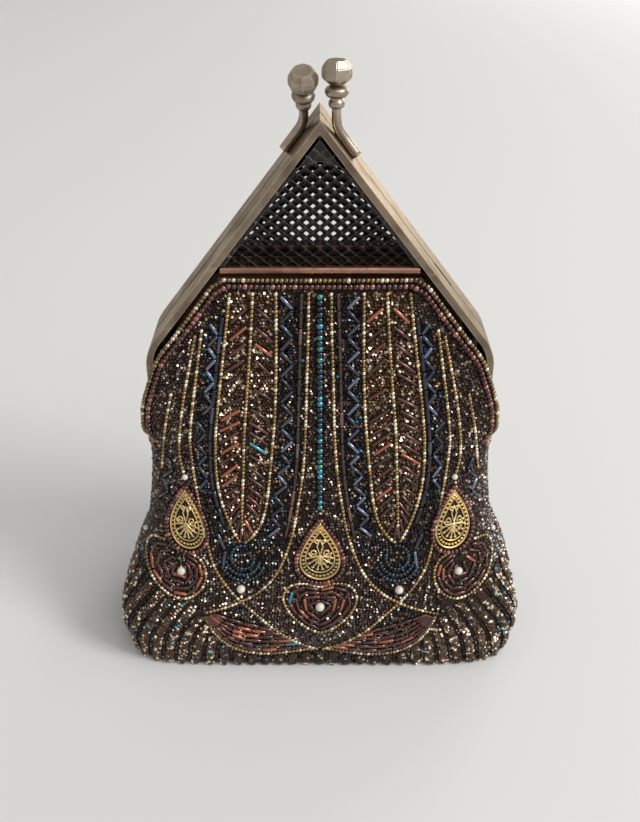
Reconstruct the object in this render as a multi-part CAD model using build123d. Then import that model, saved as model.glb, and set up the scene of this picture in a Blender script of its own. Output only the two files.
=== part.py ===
import os
from math import atan2, copysign, cos, degrees, pi, sin

from build123d import *

os.makedirs("parts", exist_ok=True)

# Millimetres. Z is up, X runs across the bag and the front faces minus Y.
# The origin lies on the table under the middle of the pouch.

# Pouch of beaded cloth, flat at the foot and widest just above it
POUCH_WIDTH = 140.0
POUCH_DEPTH = 66.0
POUCH_HEIGHT = 83.0
CLOTH = 1.4
LINING = 0.7
LINING_GAP = 0.2
# Height, width and depth as shares of the pouch, then how square the section is
POUCH_SHARES = (
    (0.00, 0.957, 0.92, 7.0),
    (0.21, 1.000, 1.00, 6.0),
    (0.42, 0.914, 0.92, 4.5),
    (0.66, 0.836, 0.78, 3.6),
    (1.00, 0.804, 0.58, 3.2),
)
# Width and depth of the flaps level with the rail, as shares of the pouch
FLAP_TOP_SHARES = (0.830, 0.350, 3.0)
SECTION_STEPS = 8
LINING_STEPS = 4

# Gabled frame of two like halves
FRAME_WIDTH = 107.0
FRAME_RISE = 101.5
LEG_LENGTH = 31.9
BEND_RADIUS = 16.0
HALF_DEPTH = 10.0
BAND = 1.0
LIP = 2.0
LIP_THICKNESS = 0.9
SEAM_GAP = 0.3
LEG_GAP = 0.5
THUMB_NOTCH_LENGTH = 9.5
THUMB_NOTCH_DEPTH = 1.0
THUMB_NOTCH_SHARE = 0.69

# Hinges at the leg ends
OPENING_ANGLE = 40.0
SPARE_ANGLE = 5.0
EAR_RADIUS = 4.0
EAR = 1.0
EAR_GAP = 0.2
PIN_RADIUS = 1.2
PIN_CLEARANCE = 0.05
HEAD_RADIUS = 2.3
HEAD = 0.7

# Mesh of stretched metal in each gable, clasped along its foot by a round rail
RAIL_RISE = 58.5
RAIL_RADIUS = 1.35
RAIL_GAP = 0.6
MESH = 0.6
MESH_CLEARANCE = 0.1
MESH_RIM = 1.0
MESH_PITCH = 8.4
MESH_ROW = 3.3
MESH_STRAND = 0.9

# Ball clasp: a bent stem on one arm of each half carries a faceted knob
STEM_RADIUS = 1.3
STEM_LENGTH = 9.5
STEM_RISE = 9.2
STEM_BEND = 1.2
STEM_FROM_SEAM = 2.7
KNOB_SPACING = 8.9
KNOB_FACETS = 8
TURNED_FACETS = 10
KNOB_RADIUS = 4.2
KNOB_HEIGHT = 8.4
FRONT_LEAN_ANGLE = 0.0
REAR_LEAN_ANGLE = 28.0
# Height up the knob and radius, as shares, for its collars and its facets
COLLAR_SHARES = ((0.00, 0.13, 0.50), (0.13, 0.28, 0.67))
FACET_SHARES = ((0.28, 0.58), (0.46, 1.00), (0.78, 1.00), (1.00, 0.68))

# Bead relief that stands on the cloth
EDGE_BEAD = 2.0
LINE_BEAD = 1.3
LINE_HEIGHT = 1.1
COLUMN_WIDTH = 2.2
BUGLE_WIDTH = 1.5
BUGLE_LENGTH = 5.6
MEDALLION_HEIGHT = 1.6
MEDALLION_STEPS = 4
PEARL_RADIUS = 1.7
PEARL_HEIGHT = 2.1
PEARL_FACETS = 6
PETAL_LENGTH = 6.0
PETALS = 3
RIB_PITCH = 6.3
RIB_WIDTH = 2.8
RIB_FOOT = 0.8
SIDE_RIBS = 3

# Half width of the bead pattern as a share of the pouch
PATTERN_SHARE = 0.40357
# Places of the bead pattern, as shares of its half width and the flap height
COLUMN_SHARES = ((0.0, 0.960), (0.0, 0.465))
BELL_SHARES = ((0.058, 0.955), (0.078, 0.660), (0.126, 0.471), (0.211, 0.338), (0.421, 0.231))
FEATHER_INNER_SHARES = ((0.232, 0.950), (0.267, 0.630), (0.304, 0.483), (0.440, 0.378))
FEATHER_OUTER_SHARES = ((0.480, 0.950), (0.575, 0.680), (0.590, 0.540), (0.475, 0.378))
VEIN_SHARES = ((0.355, 0.950), (0.430, 0.632), (0.455, 0.400))
LOBE_SHARES = ((0.705, 0.715), (0.722, 0.560), (0.655, 0.357), (0.490, 0.226), (0.200, 0.112))
SIDE_SHARES = ((0.765, 0.715), (0.800, 0.600), (0.770, 0.530))
INNER_ZIGZAG_SHARES = (0.186, 0.920, 0.500, 5)
OUTER_ZIGZAG_SHARES = (0.630, 0.750, 0.540, 2)
MEDALLION_SHARES = ((0.0, 0.283, 0.426), (0.777, 0.352, 0.493))
MEDALLION_WIDTH_SHARE = 0.117
PEARL_SHARES = ((0.0, 0.212), (0.473, 0.257), (0.823, 0.297))
FLOWER_SHARES = ((0.0, 0.190), (0.823, 0.275))
SCALLOP_SHARES = ((0.062, 0.077), (0.354, 0.050), (0.708, 0.175))
SCALLOP_ROWS = 2
SCALLOP_STEPS = 4
SCALLOP_PITCH = 4.2
# Height of the ribs at the sides, as a share of the flap height
RIB_TOP_SHARE = 0.240

# Heights that follow from the sizes above
LEG_END_Z = POUCH_HEIGHT + LEG_GAP
HINGE_Z = LEG_END_Z + HALF_DEPTH
CORNER_Z = LEG_END_Z + LEG_LENGTH
APEX_Z = LEG_END_Z + FRAME_RISE
RAIL_Z = LEG_END_Z + RAIL_RISE
FLAP_TOP_Z = RAIL_Z - RAIL_RADIUS - RAIL_GAP
HALF_WIDTH = FRAME_WIDTH / 2
PATTERN_HALF = PATTERN_SHARE * POUCH_WIDTH
SLOPE = (APEX_Z - CORNER_Z) / HALF_WIDTH
ARM_ANGLE = atan2(APEX_Z - CORNER_Z, HALF_WIDTH)
EAR_INSET = BAND + EAR_GAP + EAR
FLAP_INSET = EAR_INSET + HEAD + RAIL_GAP
MESH_Y = -(HALF_DEPTH - LIP_THICKNESS - MESH_CLEARANCE - MESH / 2)

TURN = Rot(Z=degrees(pi))


def sections():
    """Height, half width, half depth and squareness of each section of the body."""
    rows = [
        (tall * POUCH_HEIGHT, wide * POUCH_WIDTH / 2, deep * POUCH_DEPTH / 2, square)
        for tall, wide, deep, square in POUCH_SHARES
    ]
    wide, deep, square = FLAP_TOP_SHARES
    return rows + [(RAIL_Z, wide * POUCH_WIDTH / 2, deep * POUCH_DEPTH / 2, square)]


def ring(height, half_width, half_depth, square, steps):
    """Points round a rounded section, from the left seam over the front and back again."""
    points = []
    for step in range(2 * steps):
        turn = pi * step / steps
        across = copysign(abs(cos(turn)) ** (2 / square), cos(turn))
        out = copysign(abs(sin(turn)) ** (2 / square), sin(turn))
        points.append(Vector(-half_width * across, -half_depth * out, height))
    return points


def facet(*points):
    return Face(Wire.make_polygon(points, close=True))


def skin(rings):
    """A closed solid of flat facets through like rings of points, from foot to top."""
    count = len(rings[0])
    faces = [facet(*reversed(rings[0])), facet(*rings[-1])]
    for low, high in zip(rings, rings[1:]):
        for a, b in zip(range(count), [*range(1, count), 0]):
            faces.append(facet(low[a], low[b], high[b]))
            faces.append(facet(low[a], high[b], high[a]))
    return Solid(Shell(faces))


def body(grow, floor=0.0, steps=SECTION_STEPS):
    """The filled pouch and flaps, swollen by grow, standing on floor."""
    rows = sections()
    heights = [floor] + [row[0] for row in rows[1:]]
    return skin(
        [
            ring(z, wide + grow, deep + grow, square, steps)
            for z, (_, wide, deep, square) in zip(heights, rows)
        ]
    )


def gable(inset):
    """The frame seen from the front, drawn in by inset, with its legs run on downwards."""
    foot = LEG_END_Z - LEG_LENGTH
    corners = [
        (-HALF_WIDTH, foot),
        (-HALF_WIDTH, CORNER_Z),
        (0, APEX_Z),
        (HALF_WIDTH, CORNER_Z),
        (HALF_WIDTH, foot),
    ]
    outline = make_face(Polyline(*corners, close=True))
    bends = [v for v in outline.vertices() if v.Y == CORNER_Z]
    outline = fillet(bends, BEND_RADIUS)
    return offset(outline, amount=-inset) if inset else outline


def above(height):
    """A sketch that covers all that lies higher than the given height."""
    tall = APEX_Z - height
    return Pos(0, height + tall / 2) * Rectangle(FRAME_WIDTH, tall)


def flap_edge(inset):
    """The flaps seen from the front, drawn in by inset from the frame."""
    return gable(FLAP_INSET + inset) - above(FLAP_TOP_Z - inset)


def kept_outline(foot):
    """The pouch above foot and the flaps, seen from the front."""
    tall = POUCH_HEIGHT - foot
    pouch = Pos(0, foot + tall / 2) * Rectangle(2 * POUCH_WIDTH, tall)
    return pouch + flap_edge(0)


def kept(foot):
    """The room that cloth and beads may fill."""
    return extrude(Plane.XZ * kept_outline(foot), amount=POUCH_DEPTH, both=True)


def face_outline():
    """The front of the cloth, a bead short of its sides, where the pattern may lie."""
    left = [(LINE_BEAD - wide, z) for z, wide, _, _ in sections()]
    right = [(-x, z) for x, z in reversed(left)]
    return make_face(Polyline(*left, *right, close=True)) & kept_outline(RIB_FOOT)


def at(across, up):
    """A place of the bead pattern from its two shares."""
    return (across * PATTERN_HALF, up * FLAP_TOP_Z)


def stripe(shares, width=LINE_BEAD):
    """A bead line of even width along a run of places."""
    return trace(Polyline(*[at(*share) for share in shares]), line_width=width)


def both_sides(sketch):
    return sketch + mirror(sketch, about=Plane.YZ)


def relief(sketch, layer):
    """The parts of a bead layer that a sketch covers, on the front of the bag."""
    ahead = (0, -1, 0)
    prisms = [extrude(Plane.XZ * f, amount=POUCH_DEPTH, dir=ahead) for f in sketch.faces()]
    return Compound(children=[s for prism in prisms for s in (layer & prism).solids()])


def zigzag(shares):
    """Bugle beads set end to end at a slant, down one straight run."""
    across, top, foot, turns = shares
    left, high = at(across, top)
    drop = (high - foot * FLAP_TOP_Z) / (2 * turns)
    swing = (BUGLE_LENGTH**2 - drop**2) ** 0.5 if drop < BUGLE_LENGTH else BUGLE_WIDTH
    points = [
        (left + copysign(swing, step % 2 - 0.5) / 2, high - drop * step)
        for step in range(2 * turns + 1)
    ]
    return trace(Polyline(*points), line_width=BUGLE_WIDTH)


def medallion(shares, grow=0.0):
    """A teardrop with its point upwards."""
    across, foot, top = shares
    centre, low = at(across, foot)
    middle = low + MEDALLION_WIDTH_SHARE * PATTERN_HALF
    wide = MEDALLION_WIDTH_SHARE * PATTERN_HALF + grow
    points = [(0, top * FLAP_TOP_Z + 2 * grow)]
    for step in range(MEDALLION_STEPS + 1):
        turn = pi * step / MEDALLION_STEPS
        points.append((-wide * cos(turn), middle - wide * sin(turn)))
    return Pos(centre, 0) * make_face(Polyline(*points, close=True))


def flower(shares):
    """A fan of short petals that opens downwards."""
    span = pi / (PETALS + 1)
    fan = Sketch()
    for petal in range(1, PETALS + 1):
        way = -span * petal
        middle = PEARL_RADIUS + PETAL_LENGTH / 2
        place = Pos(cos(way) * middle, sin(way) * middle) * Rot(Z=degrees(way))
        fan += place * Rectangle(PETAL_LENGTH, BUGLE_WIDTH)
    return Pos(*at(*shares)) * fan


def scallop_row(lift):
    """Places along one hanging row, raised by lift above the lowest row."""
    start, low, end = [at(*share) for share in SCALLOP_SHARES]
    half = (end[0] - start[0]) / 2 - lift
    points = []
    for step in range(SCALLOP_STEPS + 1):
        side = 2 * step / SCALLOP_STEPS - 1
        rise = (start if side < 0 else end)[1] - low[1]
        points.append((start[0] + lift + half * (1 + side), low[1] + lift + rise * side**2))
    return points


def scallops():
    """Hanging rows of bugles along the lower edge of the pattern."""
    rows = [scallop_row(row * SCALLOP_PITCH) for row in range(SCALLOP_ROWS)]
    return Sketch() + [trace(Polyline(*row), line_width=BUGLE_WIDTH) for row in rows]


def rib_band():
    """The strip at the foot that the ribs fill, up to the scallops and higher at the sides."""
    points = scallop_row(-BUGLE_WIDTH)
    side = POUCH_WIDTH / 2
    rest = [(side, RIB_TOP_SHARE * FLAP_TOP_Z), (side, 0), (points[0][0], 0)]
    return make_face(Polyline(*points, *rest, close=True))


def side_rib(behind, layer):
    """One upright rib on either side of the bag, at a distance in front of the seams."""
    tall = RIB_TOP_SHARE * FLAP_TOP_Z
    bar = Pos(0, -behind, tall / 2) * Box(2 * POUCH_WIDTH, RIB_WIDTH, tall)
    return (layer & bar).solids()


def frame_half():
    """The front half: a deep band with a thin lip in front and an ear at each leg end."""
    band = (gable(0) - gable(BAND)) & above(LEG_END_Z)
    half = extrude(Plane.XZ.offset(SEAM_GAP / 2) * band, amount=HALF_DEPTH - SEAM_GAP / 2)
    lip = (gable(0) - gable(LIP)) & above(LEG_END_Z)
    half += extrude(Plane.XZ.offset(HALF_DEPTH) * lip, amount=-LIP_THICKNESS)

    # rounded leg ends, open in the middle so that the halves can swing apart
    hinge = Plane((0, 0, HINGE_Z), x_dir=(0, 1, 0), z_dir=(1, 0, 0))
    way = (OPENING_ANGLE + SPARE_ANGLE) * pi / 180
    reach = 2 * HALF_DEPTH
    wedge = Polyline((0, 0), (-reach * sin(way), -reach * cos(way)), (0, -reach), close=True)
    below = Pos(-HALF_DEPTH / 2, -HALF_DEPTH / 2) * Rectangle(HALF_DEPTH, HALF_DEPTH)
    below = (below - Circle(HALF_DEPTH)) + make_face(wedge)
    half -= extrude(hinge * below, amount=FRAME_WIDTH, both=True)

    # the left leg carries an ear in the line of the band
    hole = Circle(PIN_RADIUS + PIN_CLEARANCE)
    left = hinge.offset(-HALF_WIDTH)
    ear = RegularPolygon(EAR_RADIUS, TURNED_FACETS)
    half += extrude(left * ear, amount=BAND)
    half -= extrude(left * hole, amount=BAND)

    # the right leg carries an ear inside the ear of the other half
    right = hinge.offset(HALF_WIDTH - EAR_INSET)
    room = EAR_RADIUS + EAR_GAP
    half -= extrude(hinge.offset(HALF_WIDTH - BAND) * Circle(room), amount=BAND)
    depth = HALF_DEPTH - LIP_THICKNESS
    strap = ear + Pos(-depth / 2, 0) * Rectangle(depth, EAR_RADIUS)
    pad = depth - room - EAR_GAP
    foot = Pos(pad / 2 - depth, 0) * Rectangle(pad, EAR_RADIUS)
    half += extrude(right * (strap - hole), amount=EAR)
    half += extrude(right * foot, amount=EAR_INSET - BAND)

    # shallow notches in the seam edge, where a thumb parts the halves
    for side in (-1, 1):
        across = THUMB_NOTCH_SHARE * HALF_WIDTH
        spot = Pos(side * across, 0, APEX_Z - SLOPE * across)
        lean = Rot(Y=side * degrees(ARM_ANGLE))
        half -= spot * lean * Box(THUMB_NOTCH_LENGTH, 2 * THUMB_NOTCH_DEPTH, 2 * LIP)
    return half


def rivet():
    """The right hinge rivet, with a head on either side of the two ears."""
    grip = EAR_INSET + 2 * PIN_CLEARANCE
    start = Plane.YZ.offset(HALF_WIDTH + PIN_CLEARANCE - grip) * Pos(0, HINGE_Z)
    end = start * Pos(0, 0, grip)
    pin = extrude(start * Circle(PIN_RADIUS), amount=grip)
    head = RegularPolygon(HEAD_RADIUS, TURNED_FACETS)
    pin += extrude(start * head, amount=-HEAD)
    return pin + extrude(end * head, amount=HEAD)


def mesh_plate():
    """Stretched metal sheet that fills the gable, cut with rows of lozenges."""
    outline = gable(BAND + MESH_CLEARANCE) & above(RAIL_Z - RAIL_RADIUS / 2)
    wide = MESH_PITCH - MESH_STRAND
    high = 2 * MESH_ROW - 2 * MESH_STRAND
    lozenge = [(-wide / 2, 0), (0, high / 2), (wide / 2, 0), (0, -high / 2)]
    lozenge = make_face(Polyline(*lozenge, close=True))
    inset = (BAND + MESH_CLEARANCE + MESH_RIM) / sin(ARM_ANGLE)
    first = RAIL_Z + RAIL_RADIUS + high / 2
    holes = []
    for row in range(int((APEX_Z - first) / MESH_ROW)):
        z = first + row * MESH_ROW
        shift = row % 2 * MESH_PITCH / 2
        for column in range(-int(FRAME_WIDTH / MESH_PITCH), int(FRAME_WIDTH / MESH_PITCH) + 1):
            x = column * MESH_PITCH + shift
            side = (APEX_Z - z) / SLOPE - inset
            tip = (APEX_Z - z - high / 2) / SLOPE - inset
            if abs(x) + wide / 2 < side and abs(x) < tip:
                holes.append(Pos(x, z) * lozenge)
    return extrude(Plane.XZ.offset(-MESH_Y - MESH / 2) * (outline - holes), amount=MESH)


def rail():
    """Round rail slit along its top for the foot of the mesh."""
    half = (APEX_Z - RAIL_Z - RAIL_RADIUS) / SLOPE - LIP / sin(ARM_ANGLE) - RAIL_GAP
    rod = Pos(0, MESH_Y, RAIL_Z) * Rot(Y=90) * Cylinder(RAIL_RADIUS, 2 * half)
    floor = RAIL_Z - RAIL_RADIUS / 2 - MESH_CLEARANCE
    slit = Box(2 * half, MESH + MESH_CLEARANCE, 2 * RAIL_RADIUS)
    return rod - Pos(0, MESH_Y, floor + RAIL_RADIUS) * slit


def clasp(side, lean):
    """Stem and knob on the arm at the given side of the front half, the knob leaning back."""
    along = Vector(side * cos(ARM_ANGLE), 0, -sin(ARM_ANGLE))
    knee_x = KNOB_SPACING / 2
    knee_z = APEX_Z - SLOPE * knee_x + STEM_RADIUS / cos(ARM_ANGLE)
    knee = Vector(side * knee_x, -STEM_FROM_SEAM, knee_z)
    tilt = lean * pi / 180
    upward = Vector(0, sin(tilt), cos(tilt))
    end = knee + along * STEM_LENGTH
    top = knee + upward * STEM_RISE
    path = Polyline(end, knee + along * STEM_BEND, knee + upward * STEM_BEND, top)
    rod = Plane(end, z_dir=-along) * RegularPolygon(STEM_RADIUS, TURNED_FACETS)
    stem = sweep(rod, path=path, transition=Transition.RIGHT)
    seat = Plane(top, x_dir=(1, 0, 0), z_dir=upward)
    knob = Part()
    for low, high, wide in COLLAR_SHARES:
        disc = RegularPolygon(wide * KNOB_RADIUS, TURNED_FACETS)
        knob += extrude(
            seat.offset(low * KNOB_HEIGHT) * disc, amount=(high - low) * KNOB_HEIGHT
        )
    levels = []
    for up, wide in FACET_SHARES:
        turns = [2 * pi * step / KNOB_FACETS for step in range(KNOB_FACETS)]
        level = [(wide * KNOB_RADIUS * cos(t), wide * KNOB_RADIUS * sin(t)) for t in turns]
        levels.append([seat.from_local_coords((x, y, up * KNOB_HEIGHT)) for x, y in level])
    return stem, knob + skin(levels)


nodes = {}

# frame halves, hinges, meshes and rails
front_frame = frame_half()
for name, piece in (("frame", front_frame), ("mesh", mesh_plate()), ("rail", rail())):
    nodes["front_" + name] = piece
    nodes["rear_" + name] = TURN * piece
right_rivet = rivet()
nodes["right_rivet"] = right_rivet
nodes["left_rivet"] = TURN * right_rivet
for name, lean, turn in (("front", FRONT_LEAN_ANGLE, Rot()), ("rear", REAR_LEAN_ANGLE, TURN)):
    stem, knob = clasp(1, lean)
    nodes[name + "_clasp_stem"] = turn * (stem - front_frame)
    nodes[name + "_clasp_knob"] = turn * knob

# cloth and lining
plain = body(0)
room = kept(-CLOTH)
nodes["bag_body"] = (plain & room) - body(-CLOTH, CLOTH)
gap = CLOTH + LINING_GAP
bare = gap + LINING
lining = body(-gap, gap, LINING_STEPS) & room
nodes["lining"] = lining - body(-bare, bare, LINING_STEPS)

# bead relief on the front, then the same on the rear
room = kept(RIB_FOOT)
layers = {
    height: (body(height) & room) - plain
    for height in (LINE_HEIGHT, MEDALLION_HEIGHT, PEARL_HEIGHT)
}
upper = above(POUCH_HEIGHT)
outer = (flap_edge(0) - flap_edge(EDGE_BEAD)) & upper
inner = (flap_edge(EDGE_BEAD) - flap_edge(2 * EDGE_BEAD)) & upper
pearls = Sketch()
for place in PEARL_SHARES:
    spot = Pos(*at(*place)) * RegularPolygon(PEARL_RADIUS, PEARL_FACETS)
    pearls += both_sides(spot) if place[0] else spot
medallions, rings, flowers = Sketch(), Sketch(), Sketch()
for place in MEDALLION_SHARES:
    drop = medallion(place)
    loop = medallion(place, LINE_BEAD) - drop
    medallions += both_sides(drop) if place[0] else drop
    rings += both_sides(loop) if place[0] else loop
for place in FLOWER_SHARES:
    fan = flower(place)
    flowers += both_sides(fan) if place[0] else fan
feathers = stripe(FEATHER_INNER_SHARES) + stripe(FEATHER_OUTER_SHARES)
reliefs = (
    ("edge_beads_outer", outer, MEDALLION_HEIGHT),
    ("edge_beads_inner", inner, LINE_HEIGHT),
    ("pearls", pearls, PEARL_HEIGHT),
    ("medallions", medallions, MEDALLION_HEIGHT),
    ("medallion_rings", rings, LINE_HEIGHT),
    ("centre_beads", stripe(COLUMN_SHARES, COLUMN_WIDTH), LINE_HEIGHT),
    ("feathers", both_sides(feathers + stripe(VEIN_SHARES)), LINE_HEIGHT),
    ("bell_lines", both_sides(stripe(BELL_SHARES)), LINE_HEIGHT),
    ("lobe_lines", both_sides(stripe(LOBE_SHARES) + stripe(SIDE_SHARES)), LINE_HEIGHT),
    ("zigzags", both_sides(zigzag(INNER_ZIGZAG_SHARES) + zigzag(OUTER_ZIGZAG_SHARES)), LINE_HEIGHT),
    ("flowers", flowers, LINE_HEIGHT),
    ("scallops", both_sides(scallops()), LINE_HEIGHT),
)
face = face_outline()
taken = Sketch()
for name, sketch, height in reliefs:
    free = sketch - taken if taken.faces() else sketch
    taken = taken + sketch
    piece = relief(free & face, layers[height])
    nodes["front_" + name] = piece
    nodes["rear_" + name] = TURN * piece

# ribs round the foot
ribs = Sketch()
for rib in range(int(face_outline().bounding_box().max.X / RIB_PITCH)):
    bar = Pos((rib + 0.5) * RIB_PITCH, FLAP_TOP_Z / 2) * Rectangle(RIB_WIDTH, FLAP_TOP_Z)
    ribs += bar & rib_band()
front_ribs = relief((both_sides(ribs) - taken) & face, layers[LINE_HEIGHT])
upright = [side_rib((rib + 0.5) * RIB_PITCH, layers[LINE_HEIGHT]) for rib in range(SIDE_RIBS)]
front_ribs = Compound(children=[*front_ribs.solids(), *[s for pair in upright for s in pair]])
nodes["front_ribs"] = front_ribs
nodes["rear_ribs"] = TURN * front_ribs

for name, piece in nodes.items():
    export_step(piece, "parts/" + name + ".step")
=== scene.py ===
from math import atan2, cos, pi, radians, sin, tan

import bmesh
import bpy
import numpy as np
from bpy.props import FloatProperty, FloatVectorProperty, IntProperty, PointerProperty
from mathutils import Matrix, Vector
from mathutils.kdtree import KDTree


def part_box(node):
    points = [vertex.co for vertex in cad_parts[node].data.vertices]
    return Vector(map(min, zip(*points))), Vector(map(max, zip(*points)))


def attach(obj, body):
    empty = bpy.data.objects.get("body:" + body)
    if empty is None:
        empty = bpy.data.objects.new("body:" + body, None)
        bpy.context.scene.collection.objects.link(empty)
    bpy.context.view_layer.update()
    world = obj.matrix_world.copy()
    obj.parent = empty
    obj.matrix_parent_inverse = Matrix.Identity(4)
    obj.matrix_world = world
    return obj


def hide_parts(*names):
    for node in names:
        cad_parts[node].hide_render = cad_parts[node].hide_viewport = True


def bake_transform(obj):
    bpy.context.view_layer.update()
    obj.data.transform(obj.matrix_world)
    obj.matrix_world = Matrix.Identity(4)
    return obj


bl_info = {
    "name": "Beaded clasp bag",
    "version": (1, 0, 0),
    "blender": (4, 5, 0),
    "location": "View3D > Sidebar > Bag",
    "description": "Dresses the packed bag frame with cloth, beads and metal finishes",
    "category": "Object",
}

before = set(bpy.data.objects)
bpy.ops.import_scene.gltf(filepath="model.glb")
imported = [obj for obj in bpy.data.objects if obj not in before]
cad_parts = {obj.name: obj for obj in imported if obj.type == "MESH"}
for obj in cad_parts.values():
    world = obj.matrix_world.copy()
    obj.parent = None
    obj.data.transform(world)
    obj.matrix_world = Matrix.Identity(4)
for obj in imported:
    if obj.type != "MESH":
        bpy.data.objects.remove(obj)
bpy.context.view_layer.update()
MM = 0.001
UP = np.array([[0.0, 0.0, 1.0]])
MIRROR = np.array([-1.0, 1.0])
HALF_TURN = np.array([-1.0, -1.0, 1.0])

# The body of the bag in millimetres, after the part's source, with more rows in the flap.
# Height, half width, half depth and squareness of each section
SECTIONS = (
    (0.0, 67.0, 30.4, 7.0),
    (17.43, 70.0, 33.0, 6.0),
    (34.86, 64.0, 30.4, 4.5),
    (54.78, 58.5, 25.7, 3.6),
    (83.0, 56.3, 19.1, 3.2),
    (90.0, 59.6, 18.2, 4.0),
    (100.0, 61.0, 16.9, 4.0),
    (118.0, 61.0, 14.6, 3.6),
    (142.0, 58.1, 11.55, 3.0),
)
# Height of the flap edge, and how far it swells out over the leg of the frame
SWELL = (
    (83.0, 3.6), (85.5, 5.4), (90.0, 6.4), (96.0, 6.0),
    (103.0, 4.2), (110.0, 1.7), (116.0, 0.2), (120.0, 0.0),
)
RIM_Z = 83.0
FLAP_TOP_Z = 140.05
APEX_Z = 185.0
CORNER_Z = 115.4
FRAME_HALF = 53.5
BEND_RADIUS = 16.0
FLAP_INSET = 3.5
ARM = atan2(APEX_Z - CORNER_Z, FRAME_HALF)
SINK = 0.8
# How far above the foot and below the flap's top the dents of the cloth fade out
DENT_FOOT = 20
DENT_TOP = 30

# The bead pattern on the front, in millimetres: across from the middle, and height.
COLUMN = ((0.0, 136.2), (0.0, 64.5))
BELL = (
    (3.3, 136.6), (3.6, 122.0), (4.1, 108.0), (4.5, 94.0), (5.0, 84.0), (5.8, 75.0), (7.2, 66.0),
    (9.0, 56.4), (11.9, 47.4), (15.2, 40.8), (19.5, 35.8), (24.0, 32.4), (31.0, 29.0), (39.5, 26.4),
)
BELL_SHADE = ((5.4, 136.4), (6.2, 115.0), (6.8, 96.0), (7.5, 80.0), (9.2, 66.0), (11.4, 55.0))
FEATHER_INNER = (
    (13.0, 136.6), (13.4, 114.0), (14.2, 97.0), (15.1, 87.0), (16.1, 77.6), (17.3, 67.6),
    (19.2, 60.2), (22.2, 55.4), (25.2, 52.6),
)
FEATHER_OUTER = (
    (26.6, 136.4), (29.4, 117.0), (31.6, 102.0), (33.3, 88.0), (33.6, 77.0), (32.7, 69.0),
    (30.9, 62.6), (28.4, 56.4), (26.4, 52.8),
)
VEIN = ((19.8, 136.6), (21.3, 118.0), (22.9, 102.0), (24.2, 88.5), (24.9, 75.0), (25.5, 65.0), (25.8, 55.5))
NIGHT_EDGE = (
    (29.0, 129.0), (31.0, 117.0), (33.2, 102.0), (35.0, 88.0), (35.3, 77.0), (34.2, 68.0), (31.6, 59.0),
)
LOBE = (
    (35.5, 125.0), (37.7, 112.0), (40.0, 98.6), (41.5, 87.0), (41.2, 77.0), (40.0, 67.0), (38.6, 58.0),
    (37.2, 50.0), (35.4, 43.6), (32.0, 37.4), (27.7, 31.7), (22.0, 25.8), (15.8, 19.6), (8.0, 13.6),
    (0.6, 9.8),
)
SIDE_INNER = ((37.6, 123.0), (40.0, 113.0), (42.8, 100.5), (45.0, 87.0), (45.4, 80.0), (44.2, 73.4))
SIDE_OUTER = ((46.2, 104.0), (48.6, 94.0), (50.6, 84.0), (52.2, 74.0))
# Top, foot, number of turns and swing of each zigzag
ZIGZAGS = (
    ((9.9, 135.6), (10.6, 84.0), 6, 2.0), ((10.8, 83.5), (15.4, 55.0), 4, 1.9),
    ((31.6, 127.0), (35.4, 97.0), 4, 1.5), ((37.6, 95.0), (38.0, 70.0), 3, 1.6),
    ((33.2, 56.0), (31.6, 44.0), 1, 0.9), ((48.6, 79.0), (52.6, 63.0), 2, 1.4),
)
# Number of barbs on each side of a feather, how far each hangs down, and the share that is kept
BARBS = 20
BARB_DROP = 6.4
BARB_SHARE = 0.86
# Across, foot, top and half width of each drop
DROPS = ((0.0, 39.8, 59.6, 6.6), (44.2, 49.4, 69.0, 5.6))
RING_STEP = 1.35
# Across, height and radius of each pearl
PEARLS = ((0.0, 29.6, 1.55), (26.7, 36.2, 1.45), (46.5, 41.4, 1.4), (44.0, 73.6, 1.0), (59.6, 47.0, 1.0))
PEARL_ROOM = 1.7
PEARL_LIFT = 0.8
# The hearts with the middle of the flower in each, and the sizes of its rings of petals
CENTRE_HEART = (
    (0.0, 36.8), (5.4, 38.0), (10.2, 37.0), (12.4, 33.4), (11.8, 29.2), (9.0, 24.8), (4.6, 20.8), (0.0, 18.6),
)
SIDE_HEART = (
    (43.8, 47.8), (40.2, 46.0), (38.4, 41.2), (40.2, 35.4), (45.6, 31.6), (52.0, 32.8), (57.6, 37.6),
    (59.2, 43.6), (56.6, 48.8), (51.8, 50.2),
)
FLOWERS = ((CENTRE_HEART, (0.0, 29.6)), (SIDE_HEART, (46.5, 41.4)))
PETAL_RINGS = (0.84, 0.66, 0.48, 0.31)
# Lowest and highest of the hanging rows
SCALLOP_LOW = ((2.6, 10.6), (9.5, 8.4), (18.0, 6.8), (26.0, 8.0), (32.0, 12.0), (36.6, 18.0), (39.6, 25.4))
SCALLOP_HIGH = (
    (17.0, 19.6), (20.4, 21.4), (24.0, 22.8), (27.4, 24.0), (30.6, 25.0), (33.6, 25.8), (36.6, 26.2),
)
SCALLOP_ROWS = 6
SCALLOP_SPARE = 0.6
# The dark arcs under a feather's tip: their middle, and the reach, start and end of each in degrees
TIP = (25.8, 47.6)
TIP_NARROW = 0.9
TIP_ARCS = ((4.2, -200, 110), (6.4, 192, 348), (8.4, 202, 338))
# The ribs of the foot: their tops, the height at which they are spaced, and how far they lean outwards
RIB_PITCH = 4.8
RIB_TOP = (
    (0.0, 8.6), (3.0, 8.4), (10.0, 6.4), (18.0, 4.8), (26.0, 6.0), (32.0, 10.0), (36.6, 16.0), (40.0, 22.6),
    (44.0, 28.4), (50.0, 29.6), (56.0, 33.0), (60.5, 36.0), (66.0, 37.0),
)
RIB_SEAM_TOP = 37.0
RIB_LOWEST_TOP = 3.4
RIB_HIGHEST = 42.0
RIB_LEVEL = 9
RIB_LEAN = 0.36
RIB_RADIUS = 1.2
RIB_ROOM = 1.75
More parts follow.
